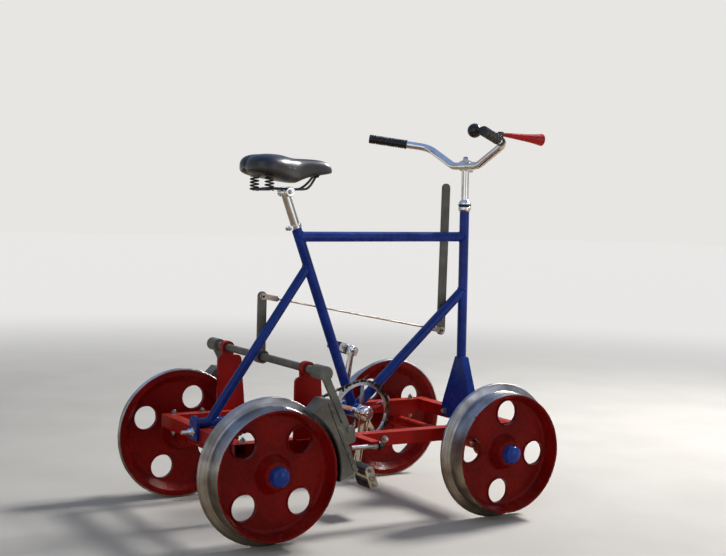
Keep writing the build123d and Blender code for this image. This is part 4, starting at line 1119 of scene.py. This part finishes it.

# brake blocks: raised strip along the back of each outer face, and beside it a thin black strip,
# the painted shade of a groove
strips, groove_shade = bmesh.new(), bmesh.new()
down = (block_toe - block_shoulder).normalized()
inwards = Vector((down.z, 0, -down.x))
for side in (1, -1):
    out = along_y * side
    for shape, near, far, lift, ease in (
        (strips, 0.0012, 0.0128, 0.0022, 0.0008),
        (strips, 0.0040, 0.0085, 0.0034, 0.0008),
        # thin black band: painted shade of a groove
        (groove_shade, 0.0128, 0.0146, 0.0004, 0.0001),
    ):
        outline = []
        for end, along, deep in (
            (block_shoulder, 0.005, near),
            (block_toe, -0.003, near),
            (block_toe, -0.010, far),
            (block_shoulder, 0.004, far),
        ):
            outline.append(end + down * along + inwards * deep + out * block_face_y)
        slab(shape, outline, out, lift, ease)
make_piece("block_strips", strips, "block_paint", "brake_cross_shaft")
make_piece("block_groove_shade", groove_shade, "black_rubber", "brake_cross_shaft")

# bolts at the hangers and domed ends of the cross shaft
small = bmesh.new()
dome = [(0, 0.0180), (0.0008, 0.0170), (0.0014, 0.0120), (0.0014, 0.0115)]
dome += [(0.0008, 0.0108), (0.0008, 0)]
for side in (1, -1):
    out = along_y * side
    bolt(small, hanger_pin + out * 0.3470, out, 0.016, tall=0.5, washer=False)
    turned(small, shaft + out * 0.3500, out, dome, 32)
make_piece("block_bolts", small, "grey_paint", "brake_cross_shaft")

# grease where the shaft turns in its rings and at the pull arm's collar
dark = bmesh.new()
grease_inner = 0.0104
for middles, half, reach in (
    ((0.2348, 0.2572, -0.2348, -0.2572), 0.0006, 0.0135),
    ((0.0085, 0.0375), 0.0012, 0.0150),
):
    band = [(-half, grease_inner), (-half, reach), (half, reach), (half, grease_inner)]
    for y in middles:
        turned(dark, shaft + along_y * y, along_y, band, 28)
make_piece("shaft_grease", dark, "black_rubber", "brake_cross_shaft")

# release stops: lock nut and end of each bolt
small = bmesh.new()
for place in both_sides(Vector((-0.0665, 0.335, 0.241))):
    bolt(small, place, along_x, 0.019, tall=0.5, end=0.006)
make_piece("stop_nuts", small, "dark_steel")

# floor that fades into a plain backdrop, and lights
backdrop = (0.80, 0.79, 0.77)
floor_half = 30
stone = Finish("floor")
rays = stone.node("ShaderNodeLightPath")
east, north, _ = stone.axes()
reach = stone.times(east, east)
reach = stone.maths("SQRT", stone.plus(reach, stone.times(north, north)))
fade = stone.span(reach, 1.6, 6.5)
speckle = stone.mixed(stone.clouds(3, 4, 0.3, 0.7), (0.56, 0.555, 0.54), (0.60, 0.595, 0.58))
speckle = stone.mixed(rays.outputs["Is Glossy Ray"], speckle, (0.33, 0.26, 0.175))
stone.sets(Base_Color=stone.mixed(fade, speckle, (0, 0, 0)), Roughness=0.85)
stone.sets(Specular_IOR_Level=0.1, Emission_Color=backdrop, Emission_Strength=fade)
stone.bump(stone.noise(120, 3), 0.0004, 0.3)
floor_mesh = bpy.data.meshes.new("floor")
corners = [(x * floor_half, y * floor_half, 0) for x, y in ((-1, -1), (1, -1), (1, 1), (-1, 1))]
floor_mesh.from_pydata(corners, [], [(0, 1, 2, 3)])
floor_mesh.materials.append(stone.material)
floor = bpy.data.objects.new("floor", floor_mesh)
scene.collection.objects.link(floor)


def lamp(name, place, width, power, colour):
    """A soft square lamp aimed at the middle of the vehicle."""
    data = bpy.data.lights.new(name, "AREA")
    data.size = width
    data.energy = power
    data.color = colour
    made = bpy.data.objects.new(name, data)
    made.location = place
    sight = Vector((0, 0, 0.4)) - Vector(place)
    made.rotation_euler = sight.to_track_quat("-Z", "Y").to_euler()
    scene.collection.objects.link(made)


lamp("key", (3.1, 0.2, 3.2), 0.8, 215, (1.0, 0.96, 0.90))
lamp("fill", (-3.4, -3.0, 2.2), 3.0, 17, (0.95, 0.97, 1.0))
lamp("front", (1.6, -4.0, 1.6), 2.0, 11, (1.0, 0.98, 0.95))

# surroundings: a sky to be mirrored, one tone for soft light and one behind the vehicle
world = bpy.data.worlds.new("world")
world.use_nodes = True
sky = world.node_tree
mirrored = sky.nodes["Background"]
place = sky.nodes.new("ShaderNodeTexCoord")
split = sky.nodes.new("ShaderNodeSeparateXYZ")
ramp = sky.nodes.new("ShaderNodeValToRGB")
sky.links.new(place.outputs["Generated"], split.inputs[0])
sky.links.new(split.outputs["Z"], ramp.inputs["Fac"])
sky.links.new(ramp.outputs["Color"], mirrored.inputs["Color"])
ramp.color_ramp.elements[0].color = (0.72, 0.67, 0.60, 1)
ramp.color_ramp.elements[1].color = (0.27, 0.43, 0.82, 1)
ramp.color_ramp.elements.new(0.10).color = (0.36, 0.33, 0.30, 1)
ramp.color_ramp.elements.new(0.35).color = (0.34, 0.42, 0.58, 1)
mirrored.inputs["Strength"].default_value = 0.8
rays = sky.nodes.new("ShaderNodeLightPath")
for ray, colour in (("Is Diffuse Ray", (0.24, 0.25, 0.27)), ("Is Camera Ray", backdrop)):
    plain = sky.nodes.new("ShaderNodeBackground")
    plain.inputs["Color"].default_value = (*colour, 1)
    choice = sky.nodes.new("ShaderNodeMixShader")
    sky.links.new(rays.outputs[ray], choice.inputs["Fac"])
    sky.links.new(mirrored.outputs[0], choice.inputs[1])
    sky.links.new(plain.outputs[0], choice.inputs[2])
    mirrored = choice
sky.links.new(mirrored.outputs[0], sky.nodes["World Output"].inputs["Surface"])
scene.world = world
scene.view_settings.view_transform = "Standard"
